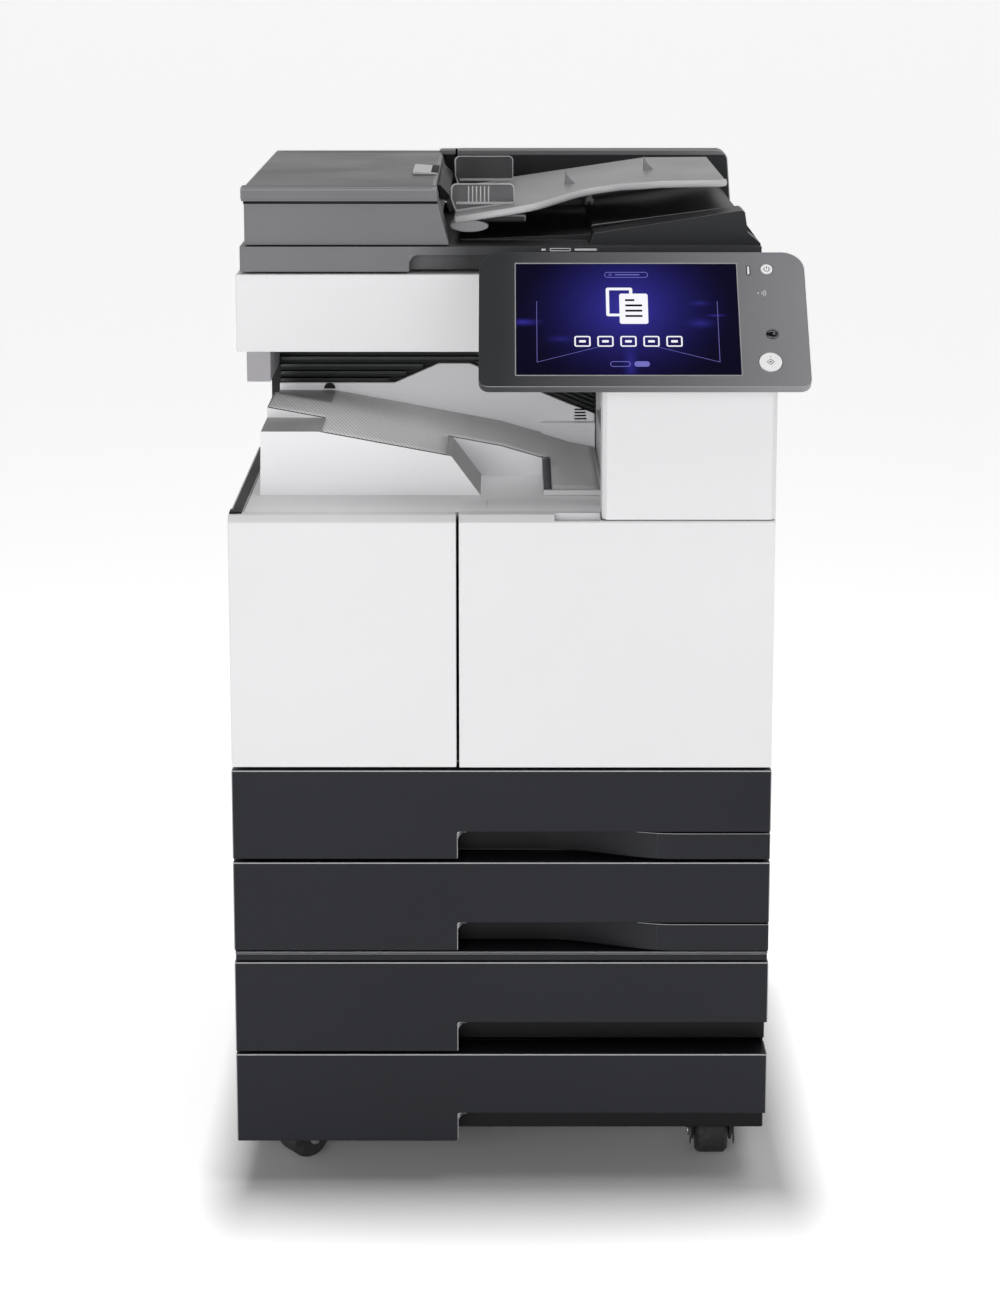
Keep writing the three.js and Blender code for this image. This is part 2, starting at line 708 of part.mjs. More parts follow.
// Tongue, barrel and pin that carry the panel between its two ears.
function panelArm() {
  const pivot = onPanel(PANEL_PIVOT);
  const left = PANEL_EARS[0] + PANEL_EAR_WIDTH + 1;
  const right = PANEL_EARS[1] - 1;
  const middle = [(left + right) / 2, pivot.y, pivot.z];
  const tongue = block([left, right], [pivot.y, PILLAR_DEPTH + 10], [SCANNER_BOTTOM - 8, pivot.z + 4]);
  const barrel = bar(9, right - left, "x", middle, 20);
  const pin = bar(4, PANEL_EARS[1] - PANEL_EARS[0] + PANEL_EAR_WIDTH, "x", middle, 16);
  return tongue.add(barrel).add(pin);
}

// Housing on the right between the pillar and the column. The sheets leave through the slot in its left face.
const EXIT_SLOT = { front: 150, back: 412, bottom: 798, top: 826, depth: 40 };

function exitHousing() {
  const left = PILLAR_LEFT + 6;
  const shell = block([left, HALF_WIDTH - 2], [PILLAR_DEPTH + 1, COLUMN_FRONT - GAP], [
    DECK_TOP + GAP,
    SCANNER_BOTTOM - GAP,
  ]);
  const slot = block([left - 1, left + EXIT_SLOT.depth], [EXIT_SLOT.front, EXIT_SLOT.back], [
    EXIT_SLOT.bottom,
    EXIT_SLOT.top,
  ]);
  const hollow = block([left + EXIT_SLOT.depth + WALL, HALF_WIDTH - 6], [
    PILLAR_DEPTH + 5,
    COLUMN_FRONT - 4,
  ], [DECK_TOP, SCANNER_BOTTOM - 5]);
  return shell.subtract(slot).subtract(hollow).add(panelArm());
}
addPiece(machine, "exit_housing", exitHousing(), COLOURS.grey, 0.5, 0);

function exitRoller() {
  const centreX = PILLAR_LEFT + 22;
  const centreZ = 808;
  const first = EXIT_SLOT.front + 2;
  const profile = [[0, first], [4, first]];
  for (let i = 0; i < 4; i++) {
    const start = first + 26 + i * 60;
    profile.push([4, start], [9, start], [9, start + 26], [4, start + 26]);
  }
  profile.push([4, EXIT_SLOT.back - 2], [0, EXIT_SLOT.back - 2]);
  return turned(profile, "y", [centreX, 0, centreZ], 20);
}
addPiece(machine, "exit_roller", exitRoller(), COLOURS.rubber, 0.7, 0);

// White front pillar: a shell that is open behind, with bevelled upright edges.
function pillarCover() {
  const right = HALF_WIDTH;
  const plan = [
    [PILLAR_LEFT, 6],
    [PILLAR_LEFT + 5, 0],
    [right - 5, 0],
    [right, 6],
    [right, PILLAR_DEPTH],
    [PILLAR_LEFT, PILLAR_DEPTH],
  ];
  const inside = block([PILLAR_LEFT + WALL, right - WALL], [WALL + 4, PILLAR_DEPTH + 1], [
    DECK_TOP + WALL,
    PILLAR_TOP - WALL,
  ]);
  const behindDoor = block([PILLAR_LEFT - 1, right + 1], [DOOR_THICKNESS, PILLAR_DEPTH + 1], [
    PILLAR_BOTTOM - 1,
    DECK_TOP + GAP,
  ]);
  return prismZ(plan, [PILLAR_BOTTOM, PILLAR_TOP]).subtract(inside).subtract(behindDoor);
}
addPiece(machine, "pillar_cover", pillarCover(), COLOURS.white, 0.4, 0);

// ---------------------------------------------------------------- scanner
function scannerBase() {
  const half = SCANNER_HALF_WIDTH - 1;
  const front = SCANNER_FRONT + 6;
  const outer = block([-half, half], [front, BACK + 6], [SCANNER_BOTTOM, SCANNER_TOP]);
  const inner = block([-half + WALL, half - WALL], [front + WALL, BACK + 3], [
    SCANNER_BOTTOM + WALL,
    SCANNER_TOP - 6,
  ]);
  const window = block([GLASS.left + 8, GLASS.right - 8], [GLASS.front + 8, GLASS.back - 8], [
    SCANNER_TOP - 8,
    SCANNER_TOP + 1,
  ]);
  const rebate = block([GLASS.left, GLASS.right], [GLASS.front, GLASS.back], [
    SCANNER_TOP - 3.5,
    SCANNER_TOP + 1,
  ]);
  const slit = block([-246, -222], [GLASS.front, GLASS.back], [SCANNER_TOP - 8, SCANNER_TOP + 1]);
  return outer.subtract(inner).subtract(window).subtract(rebate).subtract(slit);
}
addPiece(machine, "scanner_base", scannerBase(), COLOURS.white, 0.45, 0);

function scannerFrontCover() {
  const half = SCANNER_HALF_WIDTH;
  return block([-half, half], [SCANNER_FRONT, SCANNER_FRONT + 5.6], [SCANNER_BOTTOM, SCANNER_TOP]);
}
addPiece(machine, "scanner_front_cover", scannerFrontCover(), COLOURS.white, 0.4, 0);

function platenGlass() {
  return block([GLASS.left + GAP, GLASS.right - GAP], [GLASS.front + GAP, GLASS.back - GAP], [
    SCANNER_TOP - 3.1,
    SCANNER_TOP - 0.1,
  ]);
}
addPiece(machine, "platen_glass", platenGlass(), COLOURS.glass, 0.05, 0);

// Scan carriage: the lamp and mirror bar that crosses under the glass.
function scanCarriage() {
  const section = [
    [-256, 914],
    [-206, 914],
    [-206, 940],
    [-222, 952],
    [-246, 952],
    [-256, 940],
  ];
  const beam = prismY(section, [160, 530]);
  const lampSlot = block([-238, -230], [180, 510], [944, 953]);
  return beam.subtract(lampSlot);
}
addPiece(machine, "scan_carriage", scanCarriage(), COLOURS.black, 0.5, 0);

// ---------------------------------------------------------------- document feeder
const COVER_RIGHT_LOW = -57;
const COVER_RIGHT_HIGH = -74;
const COVER_BAND_BOTTOM = 1070; // the cover's lid stands a little proud of its skirt above this
const PICKUP = { x: -112, z: 1048 };

// Lid of the scanner: carries the feeder, and its right half is where the copied sheets land.
function feederBase() {
  const slab = block([FEEDER_LEFT, FEEDER_RIGHT], [SCANNER_FRONT, FEEDER_BACK], [
    FEEDER_BOTTOM,
    FEEDER_BASE_TOP,
  ]);
  const grip = block([-100, FEEDER_RIGHT + 1], [SCANNER_FRONT - 1, SCANNER_FRONT + 22], [
    FEEDER_BOTTOM - 1,
    1012,
  ]);
  const mechanismBay = block([-270, COVER_RIGHT_LOW - 24], [SCANNER_FRONT + 28, FEEDER_BACK - 12], [
    FEEDER_BOTTOM + 4,
    FEEDER_BASE_TOP + 1,
  ]);
  const bearings = [196, 526].map((y) => {
    const cheek = block([-126, -98], [y, y + 6], [FEEDER_BOTTOM + 2, 1058]);
    return cheek.subtract(bar(4.6, 30, "y", [PICKUP.x, y, PICKUP.z], 16));
  });
  const landing = prismY(
    [
      [COVER_RIGHT_LOW + 12, FEEDER_BASE_TOP - 1],
      [FEEDER_RIGHT, FEEDER_BASE_TOP - 1],
      [FEEDER_RIGHT, 1023],
      [266, 1043],
      [262, 1044],
      [90, 1027],
      [COVER_RIGHT_LOW + 12, 1022],
    ],
    [SCANNER_FRONT + 70, 628],
  );
  const fence = prismY(
    [
      [95, FEEDER_BASE_TOP - 1],
      [FEEDER_RIGHT, FEEDER_BASE_TOP - 1],
      [FEEDER_RIGHT, 1023],
      [267, 1035],
      [263.5, 1057],
      [260, 1059],
      [100, 1034],
    ],
    [SCANNER_FRONT + 14, SCANNER_FRONT + 71],
  );
  return slab
    .subtract(grip)
    .subtract(mechanismBay)
    .add(landing)
    .add(fence)
    .add(bearings[0])
    .add(bearings[1]);
}

// Cover over the feed rollers, hinged along its left edge.
function feederTopCover() {
  const low = FEEDER_BASE_TOP + 1.5;
  const back = FEEDER_BACK - 3;
  const skirt = [
    [-278, low],
    [COVER_RIGHT_LOW, low],
    [COVER_RIGHT_HIGH, FEEDER_TOP - 1],
    [-278, FEEDER_TOP - 1],
  ];
  const band = [
    [-280.5, COVER_BAND_BOTTOM],
    [COVER_RIGHT_HIGH + 5, COVER_BAND_BOTTOM],
    [COVER_RIGHT_HIGH + 2, FEEDER_TOP - 3],
    [COVER_RIGHT_HIGH - 1, FEEDER_TOP],
    [-277.5, FEEDER_TOP],
    [-280.5, FEEDER_TOP - 3],
  ];
  const inside = [
    [-274, low - 1],
    [COVER_RIGHT_LOW - 5, low - 1],
    [COVER_RIGHT_HIGH - 4, FEEDER_TOP - 5],
    [-274, FEEDER_TOP - 5],
  ];
  const mouth = block([-90, COVER_RIGHT_LOW + 2], [225, 505], [low - 1, 1050]);
  return prismY(skirt, [SCANNER_FRONT + 4, back])
    .add(prismY(band, [SCANNER_FRONT, back]))
    .subtract(prismY(inside, [SCANNER_FRONT + 8, back - 4]))
    .subtract(mouth);
}

// Release lever on the cover's right edge.
function latchLever() {
  const section = [
    [-100, FEEDER_TOP + GAP],
    [-72, FEEDER_TOP + GAP],
    [-72, FEEDER_TOP + 2],
    [-100, FEEDER_TOP + 4],
  ];
  return prismY(section, [290, 396]);
}

function feederRearHousing() {
  const corner = 14;
  const right = 283;
  const top = 1088;
  const section = new THREE.Shape();
  section.moveTo(-54, FEEDER_BASE_TOP + GAP);
  section.lineTo(right, FEEDER_BASE_TOP + GAP);
  section.lineTo(right - 4, top - corner);
  section.absarc(right - 4 - corner, top - corner, corner, 0, Math.PI / 2);
  section.lineTo(-54, top);
  const geometry = extruded(section, 28, 5);
  geometry.rotateX(Math.PI / 2);
  geometry.translate(0, FEEDER_BACK, 0);
  return toSolid(geometry);
}

// Sheet support of the feeder: a thin sloping tray with a wavy front edge and a deeper lip there.
function inputTray() {
  const surface = [
    [-52, 1050],
    [17, 1061],
    [172, 1084],
    [249, 1084.5],
  ];
  const under = surface.map(([x, z]) => [x, z - INPUT_TRAY_THICKNESS]).reverse();
  const bandSection = surface.concat(under).reverse();
  const plan = [
    [-52, 160],
    [20, 158],
  ];
  const steps = 8;
  for (let i = 1; i <= steps; i++) {
    const share = i / steps;
    plan.push([20 + 85 * share, 158 + 92 * (0.5 - 0.5 * Math.cos(Math.PI * share))]);
  }
  plan.push([132, 248], [160, 222], [176, 216], [240, 222], [249, 236], [249, 560], [-52, 560]);
  return prismZ(plan, [1000, 1120]).intersect(prismY(bandSection, [100, 600]));
}

// Upright guide plate that stands on the input tray.
function documentGuide([y0, y1], top) {
  const section = [
    [-50, 1050.8],
    [14, 1061],
    [14, top - 8],
    [10, top],
    [-50, top],
    [-53, top - 3],
  ];
  return prismY(section, [y0, y1]);
}

function pickupRoller() {
  const profile = [
    [0, 194],
    [4, 194],
    [4, 334],
    [15, 334],
    [15, 394],
    [4, 394],
    [4, 534],
    [0, 534],
  ];
  return turned(profile, "y", [PICKUP.x, 0, PICKUP.z], 24);
}

function platenMat() {
  return block([GLASS.left - 4, GLASS.right + 2], [GLASS.front - 5, GLASS.back + 5], [
    SCANNER_TOP + GAP,
    FEEDER_BOTTOM - GAP,
  ]);
}

addPiece(machine, "feeder_base", feederBase(), COLOURS.feeder, 0.45, 0);
addPiece(machine, "feeder_top_cover", feederTopCover(), COLOURS.feeder, 0.45, 0);
addPiece(machine, "cover_latch_lever", latchLever(), COLOURS.grey, 0.45, 0);
addPiece(machine, "feeder_rear_housing", feederRearHousing(), COLOURS.feeder, 0.45, 0);
addPiece(machine, "feeder_input_tray", inputTray(), COLOURS.trayGrey, 0.5, 0);
addPiece(machine, "front_document_guide", documentGuide([211, 214], 1082), COLOURS.panel, 0.3, 0);
addPiece(machine, "rear_document_guide", documentGuide([514, 517], 1089), COLOURS.panel, 0.3, 0);
addPiece(machine, "feeder_pickup_roller", pickupRoller(), COLOURS.rubber, 0.8, 0);
addPiece(machine, "platen_mat", platenMat(), COLOURS.white, 0.8, 0);

// ---------------------------------------------------------------- operator panel
// The panel is modelled flat: x to the right from the machine's middle, y up the panel, z out of its face.
const panel = place(machine, 0, PANEL_FOOT.y, PANEL_FOOT.z);
panel.rotation.x = THREE.MathUtils.degToRad(PANEL_TILT);

const POWER_BUTTON = { x: 280.9, y: 154.8, radius: 6.4 };
const START_BUTTON = { x: 279.5, y: 31.7, radius: 12 };
const BUTTON_DEPTH = 4;

// Hinge ear on the back of the panel, with a bore for the pin.
function panelEar(left) {
  const { y, z } = PANEL_PIVOT;
  const centre = [left + PANEL_EAR_WIDTH / 2, y, z];
  const plate = block([left, left + PANEL_EAR_WIDTH], [y - 9, y + 9], [z, -25]);
  const round = bar(9, PANEL_EAR_WIDTH, "x", centre, 20);
  return plate.add(round).subtract(bar(4.4, 2 * PANEL_EAR_WIDTH, "x", centre, 16));
}

function panelCase() {
  const rim = pad(PANEL_WIDTH, PANEL_HEIGHT, PANEL_CORNERS, [-PANEL_RIM, 0]);
  const bulge = pad(PANEL_WIDTH - 60, PANEL_HEIGHT - 64, BULGE_CORNERS, [-26, -PANEL_RIM + 1]);
  const shell = rim.add(bulge.translate([0, 32, 0])).translate([PANEL_FOOT.x, 0, 0]);
  const screenPocket = block(
    [SCREEN.left - GAP, SCREEN.right + GAP],
    [SCREEN.bottom - GAP, SCREEN.top + GAP],
    [-2.4, 1],
  );
  let body = shell.subtract(screenPocket);
  for (const left of PANEL_EARS) {
    body = body.add(panelEar(left));
  }
  for (const { x, y, radius } of [POWER_BUTTON, START_BUTTON]) {
    body = body.subtract(bar(radius + 0.5, 2 * BUTTON_DEPTH, "z", [x, y, 0], 28));
  }
  return body;
}
addPiece(panel, "panel_case", panelCase(), COLOURS.panel, 0.4, 0);

function touchScreen() {
  return block([SCREEN.left, SCREEN.right], [SCREEN.bottom, SCREEN.top], [-2, -0.3]);
}
addPiece(panel, "touch_screen", touchScreen(), COLOURS.glass, 0.08, 0);

function roundButton({ x, y, radius }, proud) {
  const height = BUTTON_DEPTH - 1.2 + proud;
  return bar(radius, height, "z", [x, y, proud - height / 2], 28);
}
addPiece(panel, "power_button", roundButton(POWER_BUTTON, 0.4), COLOURS.white, 0.35, 0);
addPiece(panel, "start_button", roundButton(START_BUTTON, 0.8), COLOURS.white, 0.35, 0);

// ---------------------------------------------------------------- origin
const extent = new THREE.Box3().setFromObject(machine);
const middle = extent.getCenter(new THREE.Vector3());
machine.position.set(-middle.x, -middle.y, -extent.min.z);

export default machine;
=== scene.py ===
# Looks of the office photocopier: materials, rounded edges, detail pieces, lights and camera, built round the
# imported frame. Units are metres in the row frame: +X to the operator's right, +Y to the back, +Z up.
import json
import math

import bmesh
import bpy
from mathutils import Matrix, Vector


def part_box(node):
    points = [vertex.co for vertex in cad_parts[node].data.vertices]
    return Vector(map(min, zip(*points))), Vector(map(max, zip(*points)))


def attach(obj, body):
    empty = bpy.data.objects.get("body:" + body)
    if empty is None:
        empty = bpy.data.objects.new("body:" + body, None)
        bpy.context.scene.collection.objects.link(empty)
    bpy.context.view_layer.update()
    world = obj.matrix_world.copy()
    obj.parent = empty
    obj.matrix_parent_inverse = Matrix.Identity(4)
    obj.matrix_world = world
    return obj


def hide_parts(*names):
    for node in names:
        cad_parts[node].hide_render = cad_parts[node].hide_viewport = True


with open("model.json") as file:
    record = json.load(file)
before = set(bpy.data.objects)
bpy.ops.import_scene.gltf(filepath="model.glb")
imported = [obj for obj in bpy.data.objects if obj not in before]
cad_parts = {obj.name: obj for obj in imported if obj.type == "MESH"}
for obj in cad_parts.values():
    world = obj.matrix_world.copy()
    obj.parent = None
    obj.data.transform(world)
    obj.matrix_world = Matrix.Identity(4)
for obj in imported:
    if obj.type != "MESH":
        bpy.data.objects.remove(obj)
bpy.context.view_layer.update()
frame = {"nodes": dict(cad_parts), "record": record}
NODES = frame["nodes"]
MM = 0.001
GRAIN_SCALE, GRAIN_STRENGTH, GRAIN_DEPTH = 1400.0, 0.25, 0.12 * MM


# ---- shader helpers
class Shader:
    """A material's node tree, with short calls for the nodes that the materials share."""

    def __init__(self, name):
        self.material = bpy.data.materials.new(name)
        self.material.use_nodes = True
        self.nodes = self.material.node_tree.nodes
        self.links = self.material.node_tree.links
        self.surface = self.nodes["Principled BSDF"]
        coordinates = self.nodes.new("ShaderNodeTexCoord")
        self.place = coordinates.outputs["Object"]
        self.uv = coordinates.outputs["UV"]
        self.facing = coordinates.outputs["Normal"]

    def set(self, **values):
        for socket, value in values.items():
            self.surface.inputs[socket.replace("_", " ")].default_value = value
        return self

    def link(self, output, socket):
        self.links.new(output, self.surface.inputs[socket])

    def paint(self, output):
        self.link(output, "Base Color")

    def node(self, kind, **inputs):
        """A new node, its inputs linked or set by name, with an underscore for each space."""
        node = self.nodes.new("ShaderNode" + kind)
        for name, value in inputs.items():
            self.feed(value, node.inputs[name.replace("_", " ")])
        return node

    def noise(self, scale, detail=2.0, stretch=None):
        place = self.place if stretch is None else self.vector("MULTIPLY", self.place, stretch)
        return self.node("TexNoise", Scale=scale, Detail=detail, Vector=place).outputs["Fac"]

    def ramp(self, factor, low, high, to_low=0.0, to_high=1.0):
        node = self.node("MapRange", Value=factor, From_Min=low, From_Max=high, To_Min=to_low, To_Max=to_high)
        return node.outputs["Result"]

    def mix(self, factor, first, second):
        node = self.nodes.new("ShaderNodeMix")
        node.data_type = "RGBA"
        self.feed(factor, node.inputs[0])
        self.feed(first, node.inputs[6])
        self.feed(second, node.inputs[7])
        return node.outputs[2]

    def math(self, operation, first, second=0.0, third=0.0):
        node = self.nodes.new("ShaderNodeMath")
        node.operation = operation
        for socket, value in zip(node.inputs, (first, second, third)):
            self.feed(value, socket)
        return node.outputs[0]

    def vector(self, operation, first, second=(0, 0, 0), output="Vector"):
        node = self.nodes.new("ShaderNodeVectorMath")
        node.operation = operation
        self.feed(first, node.inputs[0])
        self.feed(second, node.inputs[1])
        return node.outputs[output]

    def axes(self, source=None):
        return self.node("SeparateXYZ", Vector=source or self.place).outputs

    def above(self, value, limit):
        return self.math("GREATER_THAN", value, limit)

    def below(self, value, limit):
        return self.math("LESS_THAN", value, limit)

    def times(self, first, second):
        return self.math("MULTIPLY", first, second)

    def stripes(self, direction, pitch):
        """A wave from 0 to 1 along a direction, once every pitch metres."""
        distance = self.vector("DOT_PRODUCT", self.place, Vector(direction).normalized(), "Value")
        wave = self.math("SINE", self.times(distance, 2 * math.pi / pitch))
        return self.math("MULTIPLY_ADD", wave, 0.5, 0.5)

    def feed(self, value, socket):
        if isinstance(value, bpy.types.NodeSocket):
            self.links.new(value, socket)
        elif socket.type == "RGBA" and len(value) == 3:
            socket.default_value = (*value, 1)
        else:
            socket.default_value = value

    def bump(self, height, strength, distance):
        node = self.node("Bump", Strength=strength, Distance=distance, Height=height)
        previous = self.surface.inputs["Normal"]
        if previous.is_linked:
            self.links.new(previous.links[0].from_socket, node.inputs["Normal"])
        self.links.new(node.outputs["Normal"], previous)

    def gloss(self, factor, low, high):
        """Roughness that drifts between two values with a soft noise."""
        self.link(self.ramp(factor, 0.3, 0.7, low, high), "Roughness")

    def handled(self, low, high):
        """Roughness between two values, uneven from handling."""
        self.link(self.ramp(self.noise(9.0, 4.0), 0.25, 0.75, low, high), "Roughness")

    def grained(self):
        """Adds the fine spark-eroded grain that the mouldings share, and gives the material."""
        self.bump(self.noise(GRAIN_SCALE), GRAIN_STRENGTH, GRAIN_DEPTH)
        return self.material


def shade(colour, factor):
    return tuple(min(1.0, channel * factor) for channel in colour)


def moulded(name, colour, roughness, grain=GRAIN_SCALE, depth=GRAIN_STRENGTH, spread=0.05, gloss=0.5):
    """Injection-moulded plastic: fine grain, slow colour drift and uneven gloss from handling."""
    shader = Shader(name)
    drift = shader.ramp(shader.noise(3.2, 3.0), 0.3, 0.7)
    shader.paint(shader.mix(drift, shade(colour, 1 - spread), shade(colour, 1 + spread)))
    shader.handled(roughness - 0.05, roughness + 0.06)
    shader.bump(shader.noise(grain), depth, GRAIN_DEPTH)
    shader.set(Specular_IOR_Level=gloss)
    return shader.material


def rubber(name, colour, roughness):
    shader = Shader(name)
    worn = shader.noise(140.0, 5.0)
    shader.paint(shader.mix(shader.ramp(worn, 0.45, 0.75), colour, shade(colour, 2.4)))
    shader.set(Roughness=roughness)
    shader.bump(shader.noise(900.0, 3.0), 0.5, 0.0002)
    return shader.material


def sheet_steel(name):
    """Galvanised sheet: metal with soft crystal patches and fine rolling lines."""
    shader = Shader(name)
    cells = shader.node("TexVoronoi", Scale=90.0, Vector=shader.place)
    patches = shader.ramp(cells.outputs["Color"], 0.0, 1.0)
    shader.paint(shader.mix(patches, (0.46, 0.47, 0.48), (0.62, 0.63, 0.64)))
    rolling = shader.noise(60.0, 3.0, stretch=(40.0, 1.0, 40.0))
    shader.gloss(rolling, 0.28, 0.42)
    shader.set(Metallic=1.0)
    shader.bump(rolling, 0.15, 0.0001)
    return shader.material


def clear_glass(name):
    shader = Shader(name)
    haze = shader.noise(25.0, 3.0)
    shader.paint(shader.mix(haze, (0.80, 0.86, 0.84), (0.88, 0.92, 0.90)))
    shader.link(shader.ramp(haze, 0.3, 0.8, 0.02, 0.06), "Roughness")
    shader.set(Transmission_Weight=0.9, IOR=1.5)
    return shader.material


WHITE = (0.700, 0.695, 0.707)
# Depths of the drawers' recess mouth and floor: between them the painted recess shade darkens the charcoal.
RECESS_MOUTH_Y, RECESS_FLOOR_Y = -0.3105, -0.2730
# Depth beyond which the drawers' painted highlight no longer runs down their side edges.
SIDE_HIGHLIGHT_DEPTH_Y = -0.3095
DOOR_FOOT_Z = 0.4745
LIGHT_GREY = (0.52, 0.52, 0.53)


def tray_body(name):
    """White block of the output tray, with painted light and shade: its front faces take a brightened copy of
    the white, its low deck is a little greyer, and its higher upward faces and inner side walls take a dark
    grey of painted shade.
    """
    shader = Shader(name)
    x, _, z = shader.axes()
    facing_x, _, facing_z = shader.axes(shader.facing)
    drift = shader.noise(5.0, 3.0)
    # A brightened copy of the white plastic: painted light on a block that sits partly in shade.
    white = shader.mix(drift, shade(WHITE, 1.18), shade(WHITE, 1.22))
    deck = shader.mix(drift, (0.82, 0.82, 0.83), (0.86, 0.86, 0.87))
    # Dark grey of painted shade, for the higher upward faces and the side walls of the notches and the hand
    # hollow.
    inner = shader.mix(drift, (0.27, 0.27, 0.275), (0.31, 0.31, 0.315))
    upward = shader.above(facing_z, 0.6)
    low = shader.below(z, 0.7600)
    sideways = shader.above(shader.math("ABSOLUTE", facing_x), 0.35)
    inside = shader.times(sideways, shader.above(x, -0.274))
    grey = shader.math("MAXIMUM", upward, inside)
    colour = shader.mix(shader.times(upward, low), shader.mix(grey, white, inner), deck)
    shader.paint(colour)
    shader.gloss(drift, 0.38, 0.46)
    return shader.grained()


def hatched(name):
    """Surface under the sheets, painted grey for the scanner's shadow over a white moulding, with fine
    moulded diagonal ribs that fade out towards the right.
    """
    shader = Shader(name)
    x = shader.axes()[0]
    ribs = shader.stripes((1.0, 0.26, 0.0), 0.0046)
    fade = shader.ramp(x, -0.05, -0.11)
    drift = shader.noise(5.0, 3.0)
    # Both tones are greyer than the tray's white: painted shadow of the scanner.
    base = shader.mix(drift, (0.46, 0.46, 0.465), (0.50, 0.50, 0.505))
    raised = shader.mix(drift, (0.76, 0.76, 0.765), (0.80, 0.80, 0.805))
    shader.paint(shader.mix(shader.times(ribs, fade), base, raised))
    shader.gloss(drift, 0.42, 0.5)
    shader.bump(shader.times(ribs, fade), 0.5, 0.0004)
    shader.bump(shader.noise(1300.0), 0.2, 0.0001)
    return shader.material


def painted_highlight_mask(shader, side_strength):
    """Mask for a painted highlight: up to 1 on rounded edges between the front and the top or a side, where
    light would catch.
    """
    facing_x, facing_y, facing_z = shader.axes(shader.facing)
    sideways = shader.times(shader.math("ABSOLUTE", facing_x), side_strength)
    away = shader.math("ADD", shader.math("MAXIMUM", facing_z, 0.0), sideways)
    slant = shader.times(shader.times(facing_y, -1.0), away)
    return shader.ramp(slant, 0.10, 0.38)


def feeder_plastic(name):
    """Grey moulding of the feeder, with painted shade on its upward faces and on the base's front under the
    input tray, nearly black where the copied originals land, and a painted highlight along its rounded edges.
    """
    shader = Shader(name)
    x, _, z = shader.axes()
    facing_z = shader.axes(shader.facing)[2]
    drift = shader.noise(3.2, 3.0)
    colour = shader.mix(shader.ramp(drift, 0.3, 0.7), (0.150, 0.148, 0.157), (0.170, 0.168, 0.177))
    black = shader.mix(drift, (0.014, 0.015, 0.017), (0.022, 0.023, 0.025))
    # Upward faces take a darker grey: painted shade on the top.
    colour = shader.mix(shader.ramp(facing_z, 0.75, 0.98), colour, (0.082, 0.082, 0.088))
    shaded_base = shader.times(shader.below(z, 1.0216), shader.ramp(x, -0.112, -0.050))
    colour = shader.mix(shaded_base, colour, (0.040, 0.041, 0.044))
    landing = shader.times(shader.above(z, 1.0214), shader.above(x, -0.0700))
    colour = shader.mix(shader.times(landing, shader.below(z, 1.0815)), colour, black)
    # A pale grey on rounded edges: painted highlight.
    shader.paint(shader.mix(painted_highlight_mask(shader, 0.55), colour, (0.27, 0.27, 0.28)))
    shader.handled(0.36, 0.46)
    shader.set(Specular_IOR_Level=0.2)
    return shader.grained()


def drawer_plastic(name):
    """Charcoal moulding of the drawers, with a painted highlight along its top edges and painted shade that
    darkens the further into a recess a face lies.
    """
    shader = Shader(name)
    _, y, _ = shader.axes()
    drift = shader.noise(3.2, 3.0)
    colour = shader.mix(drift, (0.0100, 0.0105, 0.0140), (0.0150, 0.0158, 0.0205))
    # Painted shade: darker the further a face lies inside a recess.
    painted_recess_shade = shader.ramp(y, RECESS_MOUTH_Y, RECESS_FLOOR_Y, 0.0, 0.8)
    colour = shader.mix(painted_recess_shade, colour, (0.0015, 0.0015, 0.0020))
    # Painted highlight: pale along the top edges, and along the side edges only near the front.
    rim = painted_highlight_mask(shader, shader.times(shader.below(y, SIDE_HIGHLIGHT_DEPTH_Y), 0.6))
    shader.paint(shader.mix(rim, colour, (0.50, 0.51, 0.53)))
    shader.handled(0.34, 0.44)
    shader.set(Specular_IOR_Level=0.18)
    return shader.grained()


def frame_paint(name):
    """Painted frame: light inside the body, dark round the drawers' fronts."""
    shader = Shader(name)
    _, y, z = shader.axes()
    drift = shader.noise(4.0, 3.0)
    light = shader.mix(drift, (0.66, 0.66, 0.67), (0.70, 0.70, 0.71))
    front = shader.times(shader.below(z, DOOR_FOOT_Z), shader.below(y, -0.235))
    shader.paint(shader.mix(front, light, (0.006, 0.006, 0.007)))
    shader.gloss(drift, 0.38, 0.48)
    return shader.grained()


def panel_plastic(name):
    """Dark grey case of the operator panel, with a painted reflection that makes it paler towards its right
    end and a painted highlight along its lower edge.
    """
    shader = Shader(name)
    x = shader.axes()[0]
    drift = shader.noise(5.0, 3.0)
    across = shader.math("ADD", x, shader.times(drift, 0.03))
    # Painted reflection of a light at the upper right: the colour grows paler to the right.
    painted_reflection = shader.ramp(across, 0.0, 0.32)
    colour = shader.mix(painted_reflection, (0.018, 0.020, 0.022), (0.200, 0.195, 0.208))
    # Painted highlight along the panel's lower edge.
    painted_lower_edge_highlight = shader.ramp(shader.axes(shader.facing)[1], -0.86, -0.96)
    shader.paint(shader.mix(painted_lower_edge_highlight, colour, (0.34, 0.34, 0.35)))
    shader.gloss(drift, 0.30, 0.38)
    return shader.grained()


def column(name):
    """Black column behind the output tray, whose upper left wing is moulded in lilac grey."""
    shader = Shader(name)
    x, _, z = shader.axes()
    drift = shader.noise(4.0, 3.0)
    black = shader.mix(drift, (0.010, 0.011, 0.012), (0.017, 0.018, 0.019))
    grey = shader.mix(drift, (0.36, 0.35, 0.37), (0.40, 0.39, 0.41))
    wing = shader.times(shader.below(x, -0.2780), shader.above(z, 0.8502))
    shader.paint(shader.mix(wing, black, grey))
    shader.gloss(drift, 0.32, 0.42)
    shader.set(Specular_IOR_Level=0.15)
    return shader.grained()


